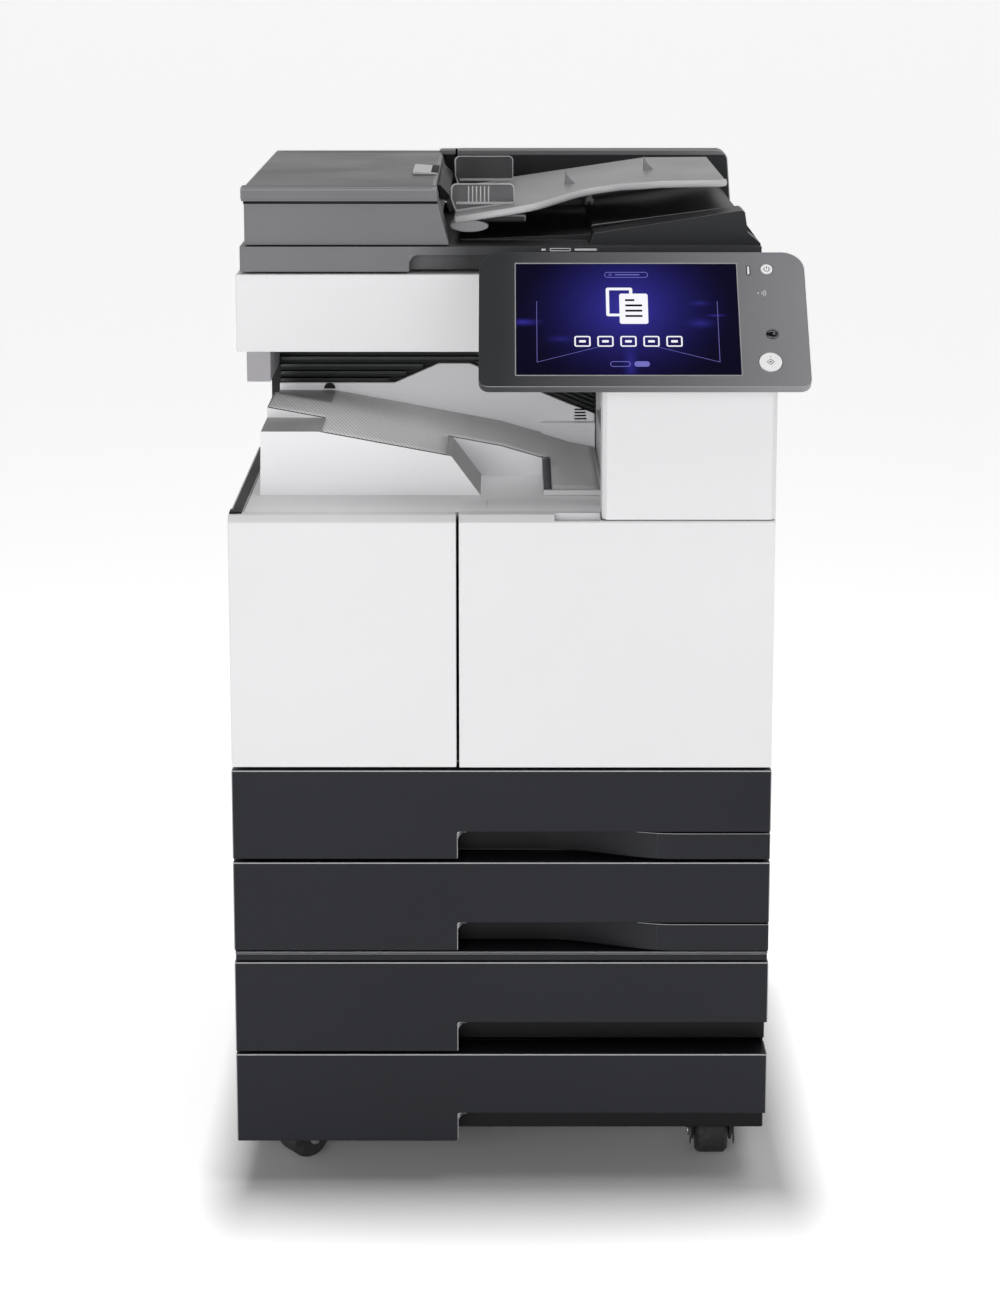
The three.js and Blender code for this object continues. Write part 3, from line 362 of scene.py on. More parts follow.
def display_glow(name):
    """Picture on the touch screen: a dark ground with a violet-blue glow and soft side lights."""
    shader = Shader(name)

    def spot(centre, radii, power):
        offset = shader.vector("SUBTRACT", shader.uv, (*centre, 0))
        distance = shader.vector("LENGTH", shader.vector("DIVIDE", offset, (*radii, 1)), output="Value")
        falloff = shader.ramp(distance, 0.0, 1.0, 1.0, 0.0)
        return shader.times(shader.math("POWER", falloff, 2.0), power)

    glow = spot((0.5, 0.60), (0.52, 0.80), 1.0)
    side_lights = [((0.03, 0.47), (0.12, 0.05), 0.9), ((0.20, 0.32), (0.10, 0.05), 0.35)]
    side_lights += [((0.83, 0.64), (0.08, 0.04), 0.4), ((0.83, 0.46), (0.10, 0.07), 0.5)]
    side_lights += [((0.90, 0.53), (0.07, 0.02), 0.7), ((0.51, 0.08), (0.05, 0.30), 0.5)]
    for centre, radii, power in side_lights:
        glow = shader.math("ADD", glow, spot(centre, radii, power))
    glow = shader.math("MINIMUM", glow, 1.0)
    grid = shader.noise(30.0, 2.0)
    ground = shader.mix(grid, (0.003, 0.003, 0.012), (0.006, 0.005, 0.02))
    shader.link(shader.mix(glow, ground, (0.040, 0.034, 0.34)), "Emission Color")
    shader.set(Base_Color=(0.0, 0.0, 0.0, 1), Roughness=0.12, Emission_Strength=1.0, Specular_IOR_Level=0.06)
    return shader.material


def lit_mark(name, colour, strength):
    shader = Shader(name)
    flicker = shader.noise(400.0, 1.0)
    shader.link(shader.mix(flicker, shade(colour, 0.94), colour), "Emission Color")
    shader.set(Base_Color=(0.0, 0.0, 0.0, 1), Roughness=0.3, Emission_Strength=strength)
    return shader.material


def smoked(name):
    """Dark see-through plastic of the document guides."""
    shader = Shader(name)
    haze = shader.noise(30.0, 3.0)
    shader.paint(shader.mix(haze, (0.20, 0.20, 0.21), (0.30, 0.30, 0.31)))
    shader.link(shader.ramp(haze, 0.3, 0.8, 0.10, 0.18), "Roughness")
    shader.set(Transmission_Weight=0.75, IOR=1.45)
    return shader.material


LOOKS = [
    moulded("white_plastic", WHITE, 0.38, spread=0.015),
    moulded("grey_plastic", LIGHT_GREY, 0.45, spread=0.03),
    drawer_plastic("charcoal_plastic"),
    frame_paint("frame_finish"),
    feeder_plastic("feeder_plastic"),
    moulded("tray_plastic", (0.25, 0.245, 0.255), 0.42, spread=0.04),
    # tray_lip is a paler copy of the tray plastic: painted light on the input tray's rounded lip; the guide
    # ribs use it too.
    moulded("tray_lip", (0.50, 0.495, 0.505), 0.36, spread=0.03),
    moulded("smoked_plastic", (0.05, 0.05, 0.055), 0.18, spread=0.05),
    panel_plastic("panel_plastic"),
    moulded("button_plastic", (0.82, 0.82, 0.83), 0.25, spread=0.02),
    moulded("black_plastic", (0.009, 0.009, 0.010), 0.5, spread=0.1, gloss=0.15),
    moulded("screen_glass", (0.004, 0.004, 0.006), 0.06, grain=300.0, depth=0.01),
    clear_glass("platen_glass"),
    sheet_steel("steel"),
    moulded("caster_plastic", (0.014, 0.014, 0.015), 0.35, spread=0.1),
    rubber("rubber", (0.012, 0.012, 0.012), 0.75),
    moulded("drum_coating", (0.02, 0.10, 0.13), 0.12, grain=600.0, depth=0.02),
    moulded("mat_white", (0.80, 0.80, 0.79), 0.7, grain=700.0),
    tray_body("tray_body"),
    hatched("tray_surface"),
    # wall_plastic is a brightened copy of the white plastic: painted light on the rear wall, which sits in
    # the scanner's shade.
    moulded("wall_plastic", (0.84, 0.83, 0.85), 0.42, spread=0.02),
    column("column_plastic"),
    moulded("louvre_plastic", (0.010, 0.012, 0.013), 0.22, depth=0.1, gloss=0.4),
    display_glow("display_glow"),
    lit_mark("display_mark", (0.95, 0.95, 1.0), 1.0),
    lit_mark("display_faint", (0.16, 0.15, 0.52), 1.0),
    moulded("printed_white", (0.72, 0.72, 0.73), 0.5, grain=900.0, depth=0.05),
    moulded("printed_dark", (0.05, 0.05, 0.055), 0.5, grain=900.0, depth=0.05),
    smoked("guide_smoked"),
    moulded("rib_grey", (0.30, 0.30, 0.31), 0.35),
    moulded("release_green", (0.03, 0.22, 0.12), 0.4),
]
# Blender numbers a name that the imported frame's own materials already use.
MATERIALS = {material.name.split(".")[0]: material for material in LOOKS}


# ---- machine frame
# The machine's own millimetres: x from the cabinet's middle, y back from its front, z up from the floor.
def node_centre(node):
    low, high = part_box(node)
    return [(a + b) / 2 for a, b in zip(low, high)]


MIDDLE_X = node_centre("cabinet_shell")[0]
FRONT_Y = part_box("pillar_cover")[0][1]
MACHINE = Matrix.Translation((MIDDLE_X, FRONT_Y, 0)) @ Matrix.Scale(MM, 4)
PANEL_TILT = 45.0
PANEL_FOOT = (0, -45, 894.7)
PANEL = MACHINE @ Matrix.Translation(PANEL_FOOT) @ Matrix.Rotation(math.radians(PANEL_TILT), 4, "X")


def machine_box(node):
    """A node's ranges in the machine's millimetres: ((x0, x1), (y0, y1), (z0, z1))."""
    low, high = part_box(node)
    origin = (MIDDLE_X, FRONT_Y, 0)
    return [((a - o) / MM, (b - o) / MM) for a, b, o in zip(low, high, origin)]


# ---- mesh helpers
LIFT = {
    "x": lambda a, b, h: (h, a, b),
    "y": lambda a, b, h: (a, h, b),
    "z": lambda a, b, h: (a, b, h),
}


def arc_points(centre, radius, start, end, steps):
    turns = [math.radians(start + (end - start) * i / steps) for i in range(steps + 1)]
    return [(centre[0] + radius * math.cos(t), centre[1] + radius * math.sin(t)) for t in turns]


def narrowed(limits, by):
    return limits[0] + by, limits[1] - by


def rounded_outline(xs, ys, radius, steps=6):
    points = []
    corners = [(xs[0], ys[0], 180), (xs[1], ys[0], 270), (xs[1], ys[1], 0), (xs[0], ys[1], 90)]
    for x, y, start in corners:
        inward_x = radius if x == xs[0] else -radius
        inward_y = radius if y == ys[0] else -radius
        points += arc_points((x + inward_x, y + inward_y), radius, start, start + 90, steps)
    return points


def add_bevel(piece, radius_mm, segments, angle=30.0):
    round_off = piece.modifiers.new("round", "BEVEL")
    round_off.width = radius_mm * MM
    round_off.segments = segments
    round_off.limit_method = "ANGLE"
    round_off.angle_limit = math.radians(angle)
    round_off.miter_outer = "MITER_ARC"
    round_off.harden_normals = True


class Shape:
    """A solid being drawn in millimetres, which becomes a piece that rides on a body."""

    def __init__(self):
        self.bm = bmesh.new()

    def loop(self, points):
        return [self.bm.verts.new(point) for point in points]

    def bridge(self, first, second):
        for i in range(len(first)):
            j = (i + 1) % len(first)
            self.bm.faces.new((first[i], first[j], second[j], second[i]))

    def stack(self, loops):
        """Skin over a row of closed loops, with a face at each end."""
        for low, high in zip(loops, loops[1:]):
            self.bridge(low, high)
        self.bm.faces.new(loops[0])
        self.bm.faces.new(reversed(loops[-1]))

    def prism(self, outline, axis, span):
        """A closed prism over a 2D outline: (y, z) for axis x, (x, z) for axis y, (x, y) for axis z."""
        self.stack([self.loop(LIFT[axis](a, b, h) for a, b in outline) for h in span])
        return self

    def plate(self, xs, ys, radius, axis, span, steps=6):
        """A prism over a rectangle with rounded corners."""
        return self.prism(rounded_outline(xs, ys, radius, steps), axis, span)

    def box(self, xs, ys, zs):
        return self.prism([(xs[0], ys[0]), (xs[1], ys[0]), (xs[1], ys[1]), (xs[0], ys[1])], "z", zs)

    def lathe(self, profile, axis, centre, steps=32):
        """Turns (radius, height) points round an axis through the centre. The profile is an open chain."""
        turns = [2 * math.pi * i / steps for i in range(steps)]
        loops = []
        for radius, height in profile:
            points = [LIFT[axis](radius * math.cos(t), radius * math.sin(t), height) for t in turns]
            loops.append(self.loop([p + c for p, c in zip(point, centre)] for point in points))
        self.stack(loops)
        return self

    def disc(self, radius, axis, centre, depth, rim=0.3, steps=32):
        profile = [(radius, -depth / 2), (radius, depth / 2 - rim), (radius - rim, depth / 2)]
        self.lathe(profile, axis, centre, steps)

    def ring(self, outer, inner, axis, span):
        """A frame between two outlines with the same number of points."""
        low, high = span
        corners = [(outer, low), (outer, high), (inner, high), (inner, low)]
        loops = [self.loop(LIFT[axis](a, b, h) for a, b in outline) for outline, h in corners]
        for first, second in zip(loops, loops[1:] + loops[:1]):
            self.bridge(first, second)

    def frame(self, xs, ys, radius, width, span):
        """A flat frame round a rectangle with rounded corners."""
        inner = rounded_outline(narrowed(xs, width), narrowed(ys, width), max(radius - width, 0.1))
        self.ring(rounded_outline(xs, ys, radius), inner, "z", span)

    def stroke(self, points, width, span, closed=False):
        """A flat line of constant width through (x, y) points, from span[0] to span[1] in z."""
        count = len(points)
        sides = []
        for i, (x, y) in enumerate(points):
            before = points[i - 1] if i or closed else points[i]
            after = points[(i + 1) % count] if i < count - 1 or closed else points[i]
            dx, dy = after[0] - before[0], after[1] - before[1]
            length = math.hypot(dx, dy) or 1.0
            nx, ny = -dy / length * width / 2, dx / length * width / 2
            sides.append(((x + nx, y + ny), (x - nx, y - ny)))
        pairs = list(zip(sides, sides[1:])) + ([(sides[-1], sides[0])] if closed else [])
        for (a, b), (c, d) in pairs:
            self.prism([a, b, d, c], "z", span)

    def piece(self, name, material, body="main_body", matrix=MACHINE, bevel=0, segments=2, smooth=True):
        """Turns the shape into a finished piece that rides on a body."""
        bmesh.ops.recalc_face_normals(self.bm, faces=self.bm.faces)
        self.bm.transform(matrix)
        mesh = bpy.data.meshes.new(name)
        self.bm.to_mesh(mesh)
        self.bm.free()
        piece = bpy.data.objects.new(name, mesh)
        bpy.context.scene.collection.objects.link(piece)
        mesh.materials.append(MATERIALS[material])
        if smooth:
            mesh.shade_smooth()
        if bevel:
            add_bevel(piece, bevel, segments)
        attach(piece, body)
        return piece


# ---- CAD nodes
EDGE_GROUPS = {
    0.3: ("touch_screen",),
    0.4: ("platen_glass", "rear_cover"),
    1.0: ("bypass_tray",),
    1.2: ("side_door",),
    1.5: ("scanner_base", "feeder_base", "right_front_door", "left_front_cover", "output_rear_wall",
          "left_side_cover"),
    1.6: ("scanner_front_cover", "pillar_cover", "output_tray"),
    2.0: ("feeder_rear_housing",),
    2.2: ("drawer_1_front", "drawer_2_front", "drawer_3_front", "drawer_4_front"),
    2.4: ("feeder_input_tray",),
    2.6: ("feeder_top_cover",),
    3.0: ("panel_case",),
}
EDGE_RADIUS = {node: radius for radius, nodes in EDGE_GROUPS.items() for node in nodes}
EDGE_DEFAULT = 0.6
PIERCED = {"rear_cover"}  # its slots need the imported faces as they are
OWN_MATERIAL = {
    "output_tray": "tray_body",
    "output_rear_wall": "wall_plastic",
    "rear_column": "column_plastic",
}


def soften(node, radius_mm):
    """Rounds a CAD node's edges with modifiers only: its own mesh stays as it was packed."""
    piece = NODES[node]
    weld = piece.modifiers.new("weld", "WELD")
    weld.merge_threshold = 1e-5
    if node not in PIERCED:
        flat = piece.modifiers.new("flat", "DECIMATE")
        flat.decimate_type = "DISSOLVE"
        flat.angle_limit = math.radians(0.5)
    add_bevel(piece, radius_mm, 3)
    even = piece.modifiers.new("even", "WEIGHTED_NORMAL")
    even.weight = 100


def dress_nodes():
    slots = {row["node"]: row["material_slot"] for row in frame["record"]["subparts"]}
    for name, piece in NODES.items():
        piece.data.materials.clear()
        piece.data.materials.append(MATERIALS[OWN_MATERIAL.get(name, slots[name])])
        piece.data.shade_smooth()
        soften(name, EDGE_RADIUS.get(name, EDGE_DEFAULT))


dress_nodes()


# ---- operator panel
SCREEN_X = (15.2, 248.6)
SCREEN_Y = (15.4, 162.0)
SCREEN_FACE = -0.25
MARK_FACE = (-0.2, -0.12)
MARK_CENTRE_X = (SCREEN_X[0] + SCREEN_X[1]) / 2


def add_display():
    picture = Shape()
    corners = [(0, 0), (1, 0), (1, 1), (0, 1)]
    face = picture.bm.faces.new(picture.loop((SCREEN_X[u], SCREEN_Y[v], SCREEN_FACE) for u, v in corners))
    layer = picture.bm.loops.layers.uv.new("picture")
    for loop, corner in zip(face.loops, corners):
        loop[layer].uv = corner
    picture.piece("screen_display", "display_glow", "operator_panel", PANEL, smooth=False)


def add_display_marks():
    """Generic pictures of a copier's start page: two sheets, a row of function tiles and three buttons."""
    bright = Shape()
    x = MARK_CENTRE_X
    bright.frame((x - 22, x + 6), (92, 130), 2.5, 3.4, MARK_FACE)
    bright.plate((x - 8, x + 22), (82, 122), 2.5, "z", MARK_FACE)
    for i in range(5):
        left = x - 56 + i * 24
        bright.frame((left, left + 17), (52, 66), 2.5, 1.6, MARK_FACE)
        bright.plate((left + 5, left + 12), (57.5, 60.5), 0.8, "z", MARK_FACE)
    bright.piece("screen_symbols", "display_mark", "operator_panel", PANEL, smooth=False)
    ink = Shape()
    above = (MARK_FACE[1], MARK_FACE[1] + 0.06)
    for row in range(4):
        right = x + (16 if row else 8)
        ink.plate((x - 2, right), (112 - row * 7, 114.6 - row * 7), 0.8, "z", above)
    ink.piece("screen_sheet_lines", "display_glow", "operator_panel", PANEL, smooth=False)
    faint = Shape()
    faint.frame((x - 23, x + 23), (143.5, 151), 3.4, 0.7, MARK_FACE)
    faint.frame((x - 19, x + 2), (26, 33), 3.2, 0.7, MARK_FACE)
    faint.plate((x + 6, x + 22), (26, 33), 3.2, "z", MARK_FACE)
    faint.stroke(arc_points((x - 17, 147.4), 1.4, 0, 330, 10), 0.5, MARK_FACE, closed=True)
    faint.plate((x - 12, x + 14), (146.8, 148), 0.4, "z", MARK_FACE)
    for side in (-1, 1):
        faint.stroke([(x + side * 95, 32), (x + side * 30, 52)], 0.4, MARK_FACE)
        faint.stroke([(x + side * 95, 32), (x + side * 95, 112)], 0.5, MARK_FACE)
    faint.piece("screen_faint_symbols", "display_faint", "operator_panel", PANEL, smooth=False)


def add_panel_marks():
    border = Shape()
    border.frame(narrowed(SCREEN_X, -1.4), narrowed(SCREEN_Y, -1.4), 1.2, 1.2, (-0.6, 0.15))
    border.piece("screen_border", "rib_grey", "operator_panel", PANEL)
    white = Shape()
    white.plate((260.2, 262.6), (147.5, 158.5), 1.1, "z", (0.05, 0.45))
    for radius in (2.2, 4.2, 6.2):
        white.stroke(arc_points((272.5, 122.6), radius, -42, 42, 10), 0.7, (0.0, 0.12))
    white.prism(arc_points((270.6, 122.6), 0.9, 0, 340, 12), "z", (0.0, 0.12))
    white.piece("panel_print", "printed_white", "operator_panel", PANEL)
    dark = Shape()
    dark.frame((259.2, 263.6), (146.5, 159.5), 2.0, 0.9, (0.0, 0.25))
    dark.piece("light_bar_frame", "black_plastic", "operator_panel", PANEL)
    lens = Shape()
    dome = [(6.6, -0.5), (6.6, 0.3), (6.0, 0.6), (5.2, 0.2), (4.9, 0.7), (3.6, 1.5), (1.8, 1.95), (0.3, 2.1)]
    lens.lathe(dome, "z", (283, 68.4, 0))
    lens.piece("sensor_lens", "screen_glass", "operator_panel", PANEL)
    glint = Shape()
    glint.stroke(arc_points((283, 68.4), 5.6, 20, 150, 12), 0.5, (0.45, 0.62))
    glint.stroke(arc_points((283, 68.4), 5.6, 200, 330, 12), 0.5, (0.45, 0.62))
    glint.piece("sensor_glints", "rib_grey", "operator_panel", PANEL)


def add_button_marks():
    power = Shape()
    power.stroke(arc_points((280.9, 154.6), 2.9, 125, 415, 20), 0.75, (0.35, 0.5))
    power.stroke([(280.9, 154.9), (280.9, 158.6)], 0.75, (0.35, 0.5))
    power.piece("power_symbol", "printed_dark", "power_button", PANEL)
    start = Shape()
    x, y = 279.5, 31.7
    diamond = [(x + 3.6, y), (x, y + 3.6), (x - 3.6, y), (x, y - 3.6)]
    start.stroke(diamond, 0.8, (0.75, 0.9), closed=True)
    start.prism(arc_points((x, y), 1.1, 0, 340, 12), "z", (0.75, 0.9))
    start.stroke([(x, y + 6.2), (x, y + 7.6)], 0.7, (0.75, 0.9))
    start.piece("start_symbol", "printed_dark", "start_button", PANEL)


add_display()
add_display_marks()
add_panel_marks()
add_button_marks()


# ---- output tray
TRAY_SECTION = [(-264, 832.4), (-262, 832), (-200, 820.5), (-69, 796), (0, 783)]
TRAY_SECTION += [(46, 769.5), (80, 758.5), (112, 752.6)]
TRAY_FRONT, HAND_BACK = 120, 245
HAND_LEFT, HAND_FOOT, HAND_RISE = 46, 754, 17
FINGER_ENDS = (-196, -60)
FINGER_SPAN = (217, 329)
STEP_LEFT, STEP_RIGHT = 44, 47.5
LEDGE_FRONT = 406
BORDER_STEPS = 8
LOUVRE_FOOT_X, LOUVRE_FOOT_Z = -138, 829  # the lower louvres end along the wall's slanting edge


def along(points, x):
    """Height of a broken line at x."""
    for (x0, z0), (x1, z1) in zip(points, points[1:]):
        if x <= x1:
            return z0 + (z1 - z0) * (x - x0) / (x1 - x0)
    return points[-1][1]


def paper_height(x, y):
    height = along(TRAY_SECTION, x)
    if x > HAND_LEFT:
        front_slope = HAND_FOOT + (y - TRAY_FRONT) * HAND_RISE / (HAND_BACK - TRAY_FRONT)
        height = min(height, front_slope)
    return height + (1.9 if x > STEP_LEFT else 0.7)


def on_paper_surface(x, y):
    if x < FINGER_ENDS[0]:
        return FINGER_SPAN[0] < y < FINGER_SPAN[1]
    if x < FINGER_ENDS[1]:
        return True
    if x < STEP_RIGHT:
        return y > HAND_BACK + 2 and (x < STEP_LEFT or y < LEDGE_FRONT)
    return y < LEDGE_FRONT


def add_paper_surface():
    xs = [*range(-260, -200, 10), -196, -192, *range(-180, -66, 12), *range(-60, 40, 10), 38, 44, 47.5, 52]
    xs += [*range(60, 110, 10), 108]
    ys = [121.6, 140, 160, 180, 200, 217, 232, 247, 270, 290, 310, 329, 350, 370, 390, 406, 419.5]
    surface = Shape()
    corners = {}

    def corner(x, y):
        if (x, y) not in corners:
            corners[x, y] = surface.bm.verts.new((x, y, paper_height(x, y)))
        return corners[x, y]

    for x0, x1 in zip(xs, xs[1:]):
        for y0, y1 in zip(ys, ys[1:]):
            if on_paper_surface((x0 + x1) / 2, (y0 + y1) / 2):
                surface.bm.faces.new([corner(x0, y0), corner(x1, y0), corner(x1, y1), corner(x0, y1)])
    sheet = surface.piece("output_paper_surface", "tray_surface")
    sheet.data.materials.append(MATERIALS["black_plastic"])
    thick = sheet.modifiers.new("thick", "SOLIDIFY")
    thick.thickness = 1.4 * MM
    thick.offset = -1
    thick.material_offset_rim = 1


def add_louvres():
    bars = Shape()
    for k in range(6):
        z = 832 + 8.6 * k
        end = LOUVRE_FOOT_X + (z - LOUVRE_FOOT_Z) * 2.26 if z < 852 else 104
        bars.plate((-261, end), (z - 2.0, z + 2.0), 1.9, "y", (424.5, 433), 5)
    bars.piece("column_louvres", "louvre_plastic", bevel=0.3)
    slants = Shape()
    for k in range(6):
        rise = 4 + 5.6 * k
        low = (112, 790.8 + rise)
        high = (-30, 790.8 + rise + 142 * 0.405)
        outline = [low, (low[0], low[1] + 2.8), (high[0], high[1] + 2.8), high]
        slants.prism(outline, "y", (422.6, 429.5))
    slants.piece("column_slanted_slats", "louvre_plastic", bevel=0.4)


def add_tray_details():
    plate = Shape().prism([(84, 783.6), (110, 783.6), (110, 792.5), (84, 802.5)], "y", (419.6, 422.4))
    plate.piece("tray_vent_plate", "wall_plastic", bevel=0.4)
    # The slots are black plates on the solid plate: painted shade for the slot openings.
    slots = Shape()
    for k in range(4):
        low = 785.4 + k * 3.7
        slots.plate((86.5, 101 - k * 0.6), (low, low + 1.8), 0.8, "y", (419.3, 421))
    slots.piece("tray_vent_slots", "black_plastic")
    flag = Shape()
    flag.prism(arc_points((-203, 822.5), 6.6, 0, 180, 14), "y", (418.6, 422.4))
    flag.disc(1.6, "y", (-203, 418.4, 825.6), 1.2, steps=16)
    flag.piece("tray_full_flag", "black_plastic", bevel=0.3)
    strip = Shape()
    strip.box((-286.4, -275.5), (11, 429), (745.2, 752.2))
    strip.box((-288.5, -279), (9, 26), (745.2, 753))
    strip.piece("deck_side_strip", "black_plastic", bevel=0.8)
    Shape().box((46, 110), (117.4, 121.4), (750, 756)).piece("tray_front_lip", "white_plastic", bevel=0.9)
    border = Shape()
    start = TRAY_FRONT + 2
    stations = [start + (HAND_BACK - start) * k / BORDER_STEPS for k in range(BORDER_STEPS + 1)]
    top_line = [(y, paper_height(50, y) + 0.6) for y in stations]
    border.prism(top_line + [(y, z - 1.5) for y, z in reversed(top_line)], "x", (46.2, 55))
    border.piece("tray_surface_border", "printed_dark")
    underside = Shape().box((-288.8, -262), (429.3, 433), (848.6, 851.2))
    underside.piece("column_wing_underside", "black_plastic", bevel=0.3)
    Shape().plate((-16.2, -14.8), (46, 90), 0.6, "z", (750, 750.35)).piece("deck_guide_mark", "white_plastic")


add_paper_surface()
add_louvres()
add_tray_details()


# ---- drawers and casters
RECESS_LEFT = -47
RECESS_TOPS = {1: 403.2, 2: 301.0, 3: 187.5, 4: 82.9}
CASTERS = {
    "front_left": (-236, 82, -55),
    "front_right": (236, 82, 0),
    "rear_left": (-236, 585, 0),
    "rear_right": (236, 585, 0),
}
FORK_HALF = 23


def add_recess_corners():
    radius = 9
    for number, top in RECESS_TOPS.items():
        corner = Shape()
        arc = arc_points((RECESS_LEFT + radius, top - radius), radius, 180, 90, 8)
        corner.prism([(RECESS_LEFT - 0.4, top + 0.4)] + arc, "y", (0.3, 40))
        corner.piece(f"drawer_{number}_recess_corner", "charcoal_plastic", f"drawer_{number}")


def add_cabinet_rail():
    low = machine_box("drawer_3_front")[2][1] + 1.8
    high = machine_box("drawer_2_front")[2][0] - 1.6
    rail = Shape()
    rail.box((-288.5, 288.5), (1.2, 46), (low, high - 2.2))
    rail.box((-289, 289), (0.6, 46), (high - 1.9, high))
    rail.piece("cabinet_front_rail", "charcoal_plastic", bevel=0.7)


def add_caster_details():
    for name, (x, y, turn) in CASTERS.items():
        place = MACHINE @ Matrix.Translation((x, y, 0)) @ Matrix.Rotation(math.radians(turn), 4, "Z")
        plate = Shape()
        plate.plate((-29, 29), (-24, 24), 4, "z", (60.2, 62))
        for bolt_x in (-23, 23):
            for bolt_y in (-18, 18):
                plate.lathe([(4.2, 57.6), (4.2, 60.2), (2.4, 60.4)], "z", (bolt_x, bolt_y, 0), 6)
        straight = MACHINE @ Matrix.Translation((x, y, 0))
        plate.piece(f"caster_plate_{name}", "steel", "main_body", straight, bevel=0.3)
        hood = Shape()
        side = arc_points((16, 25), 27.5, 20, 195, 14)
        for cheek in (-1, 1):
            span = sorted((cheek * (FORK_HALF + 0.2), cheek * (FORK_HALF + 2.2)))
            hood.prism(side + [(-9, 30), (8, 44)], "x", span)
        hood.piece(f"caster_hood_{name}", "caster_plastic", f"caster_fork_{name}", place, bevel=0.8)
        hub = Shape()
        for end in (-1, 1):
            hub.disc(6.5, "x", (end * (FORK_HALF + 2.4), 16, 25), 2.4, rim=0.8, steps=24)
        hub.piece(f"caster_axle_caps_{name}", "steel", f"caster_fork_{name}", place)


add_recess_corners()
add_cabinet_rail()
add_caster_details()


# ---- document feeder
def guide_outline(top, inset):
    """Side view of a document guide's plate, drawn in by the inset all round."""
    right, low = 14 - inset, 1061.2 + inset
    corner = 5 - inset / 2
    outline = [(right, low), (right, top - 6)]
    outline += arc_points((right - corner, top - inset - corner), corner, 0, 90, 5)
    outline += arc_points((-50 + inset, top - 6), 6 - inset, 90, 170, 5)
    outline += [(-55.5 + inset * 1.2, 1066), (-52.5 + inset * 1.2, 1056 + inset * 2)]
    return outline + [(-50 + inset, 1051 + inset * 3)]


def add_guide(side, y, top, ribs):
    node, body = f"{side}_document_guide", f"{side}_guide"
    pane = Shape().prism(guide_outline(top, 0), "y", (y, y + 2.6))
    guide = pane.piece(f"{side}_guide_plate", "guide_smoked", body, bevel=0.5)
    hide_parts(node)
    trim = Shape()
    for k in range(ribs):
        left = -37 + 4.4 * k
        trim.plate((left, left + 1.5), (1062, top - 2.5), 0.7, "y", (y - 0.8, y + 0.2))
    trim.ring(guide_outline(top, -0.1), guide_outline(top, 0.9), "y", (y - 0.4, y + 0.2))
    trim.box((-50, 13.4), (y - 1.6, y + 4.4), (1059.6, 1062.2))
    trim.piece(f"{side}_guide_ribs", "tray_lip", body, bevel=0.2)


TRAY_EDGE = [(-50, 159.8), (20, 157.8)]
TRAY_EDGE += [(20 + 85 * k / 8, 158 + 46 * (1 - math.cos(math.pi * k / 8))) for k in range(1, 9)]
TRAY_EDGE += [(132, 248), (160, 222), (176, 216), (240, 222), (248, 236)]
TRAY_RISE = [(-52, 1050), (17, 1061), (172, 1084), (249, 1084.5)]
BEAD_HALF_WIDTH = 2.6


def add_tray_lip():
    """Rounded bead along the wavy front edge of the input tray."""
    bead = Shape()
    turns = [2 * math.pi * k / 10 for k in range(10)]
    loops = []
    for i, (x, y) in enumerate(TRAY_EDGE):
        before, after = TRAY_EDGE[max(i - 1, 0)], TRAY_EDGE[min(i + 1, len(TRAY_EDGE) - 1)]
        run = Vector((after[0] - before[0], after[1] - before[1])).normalized() * BEAD_HALF_WIDTH
        height = along(TRAY_RISE, x) - 3.2
        points = [(x + run.y * math.cos(t), y - run.x * math.cos(t), height + 4 * math.sin(t)) for t in turns]
        loops.append(bead.loop(points))
    bead.stack(loops)
    # The bead takes the paler tray_lip plastic: painted light on the lip's rounded top.
    bead.piece("input_tray_lip", "tray_lip", "input_tray")


def add_cover_flap():
    """Dark shield on the cover's right end, over the mouth that takes the originals in."""
    flap = Shape()
    section = [(-71, 1080), (-67.5, 1080), (-57.5, 1069), (-57.5, 1063.5), (-66.8, 1063.5)]
    flap.prism(section, "y", (219, 508))
    flap.box((-70, -57.2), (631, 654), (1024, 1081.5))
    flap.piece("feeder_entry_shield", "black_plastic", "feeder_cover", bevel=1.0)
    cap = Shape().box((-76, -56.6), (630.5, 654.5), (1081.6, 1087.5))
    cap.piece("feeder_rail_end", "feeder_plastic", "feeder_cover", bevel=1.0)
    backing = Shape().box((-74, -50), (655.8, 658.6), (1022, 1087.4))
    backing.piece("feeder_gap_backing", "black_plastic", "feeder", bevel=0.6)
    lip = Shape()
    lip_section = [(150, 1071)] + arc_points((131.5, 1073.5), 2.5, 270, 180, 4)
    lip_section += arc_points((134.5, 1080.3), 5.5, 180, 90, 8) + [(150, 1085.9)]
    lip.prism(lip_section, "x", (-281.3, -69.8))
    lip.piece("feeder_cover_lip", "feeder_plastic", "feeder_cover", bevel=2.0, segments=3)
    # A black strip just under the lip: painted shadow of the lip.
    shadow_gap = Shape().box((-278.6, -69), (133.0, 136), (1066.9, 1070.9))
    shadow_gap.piece("feeder_cover_lip_shadow", "black_plastic", "feeder_cover")


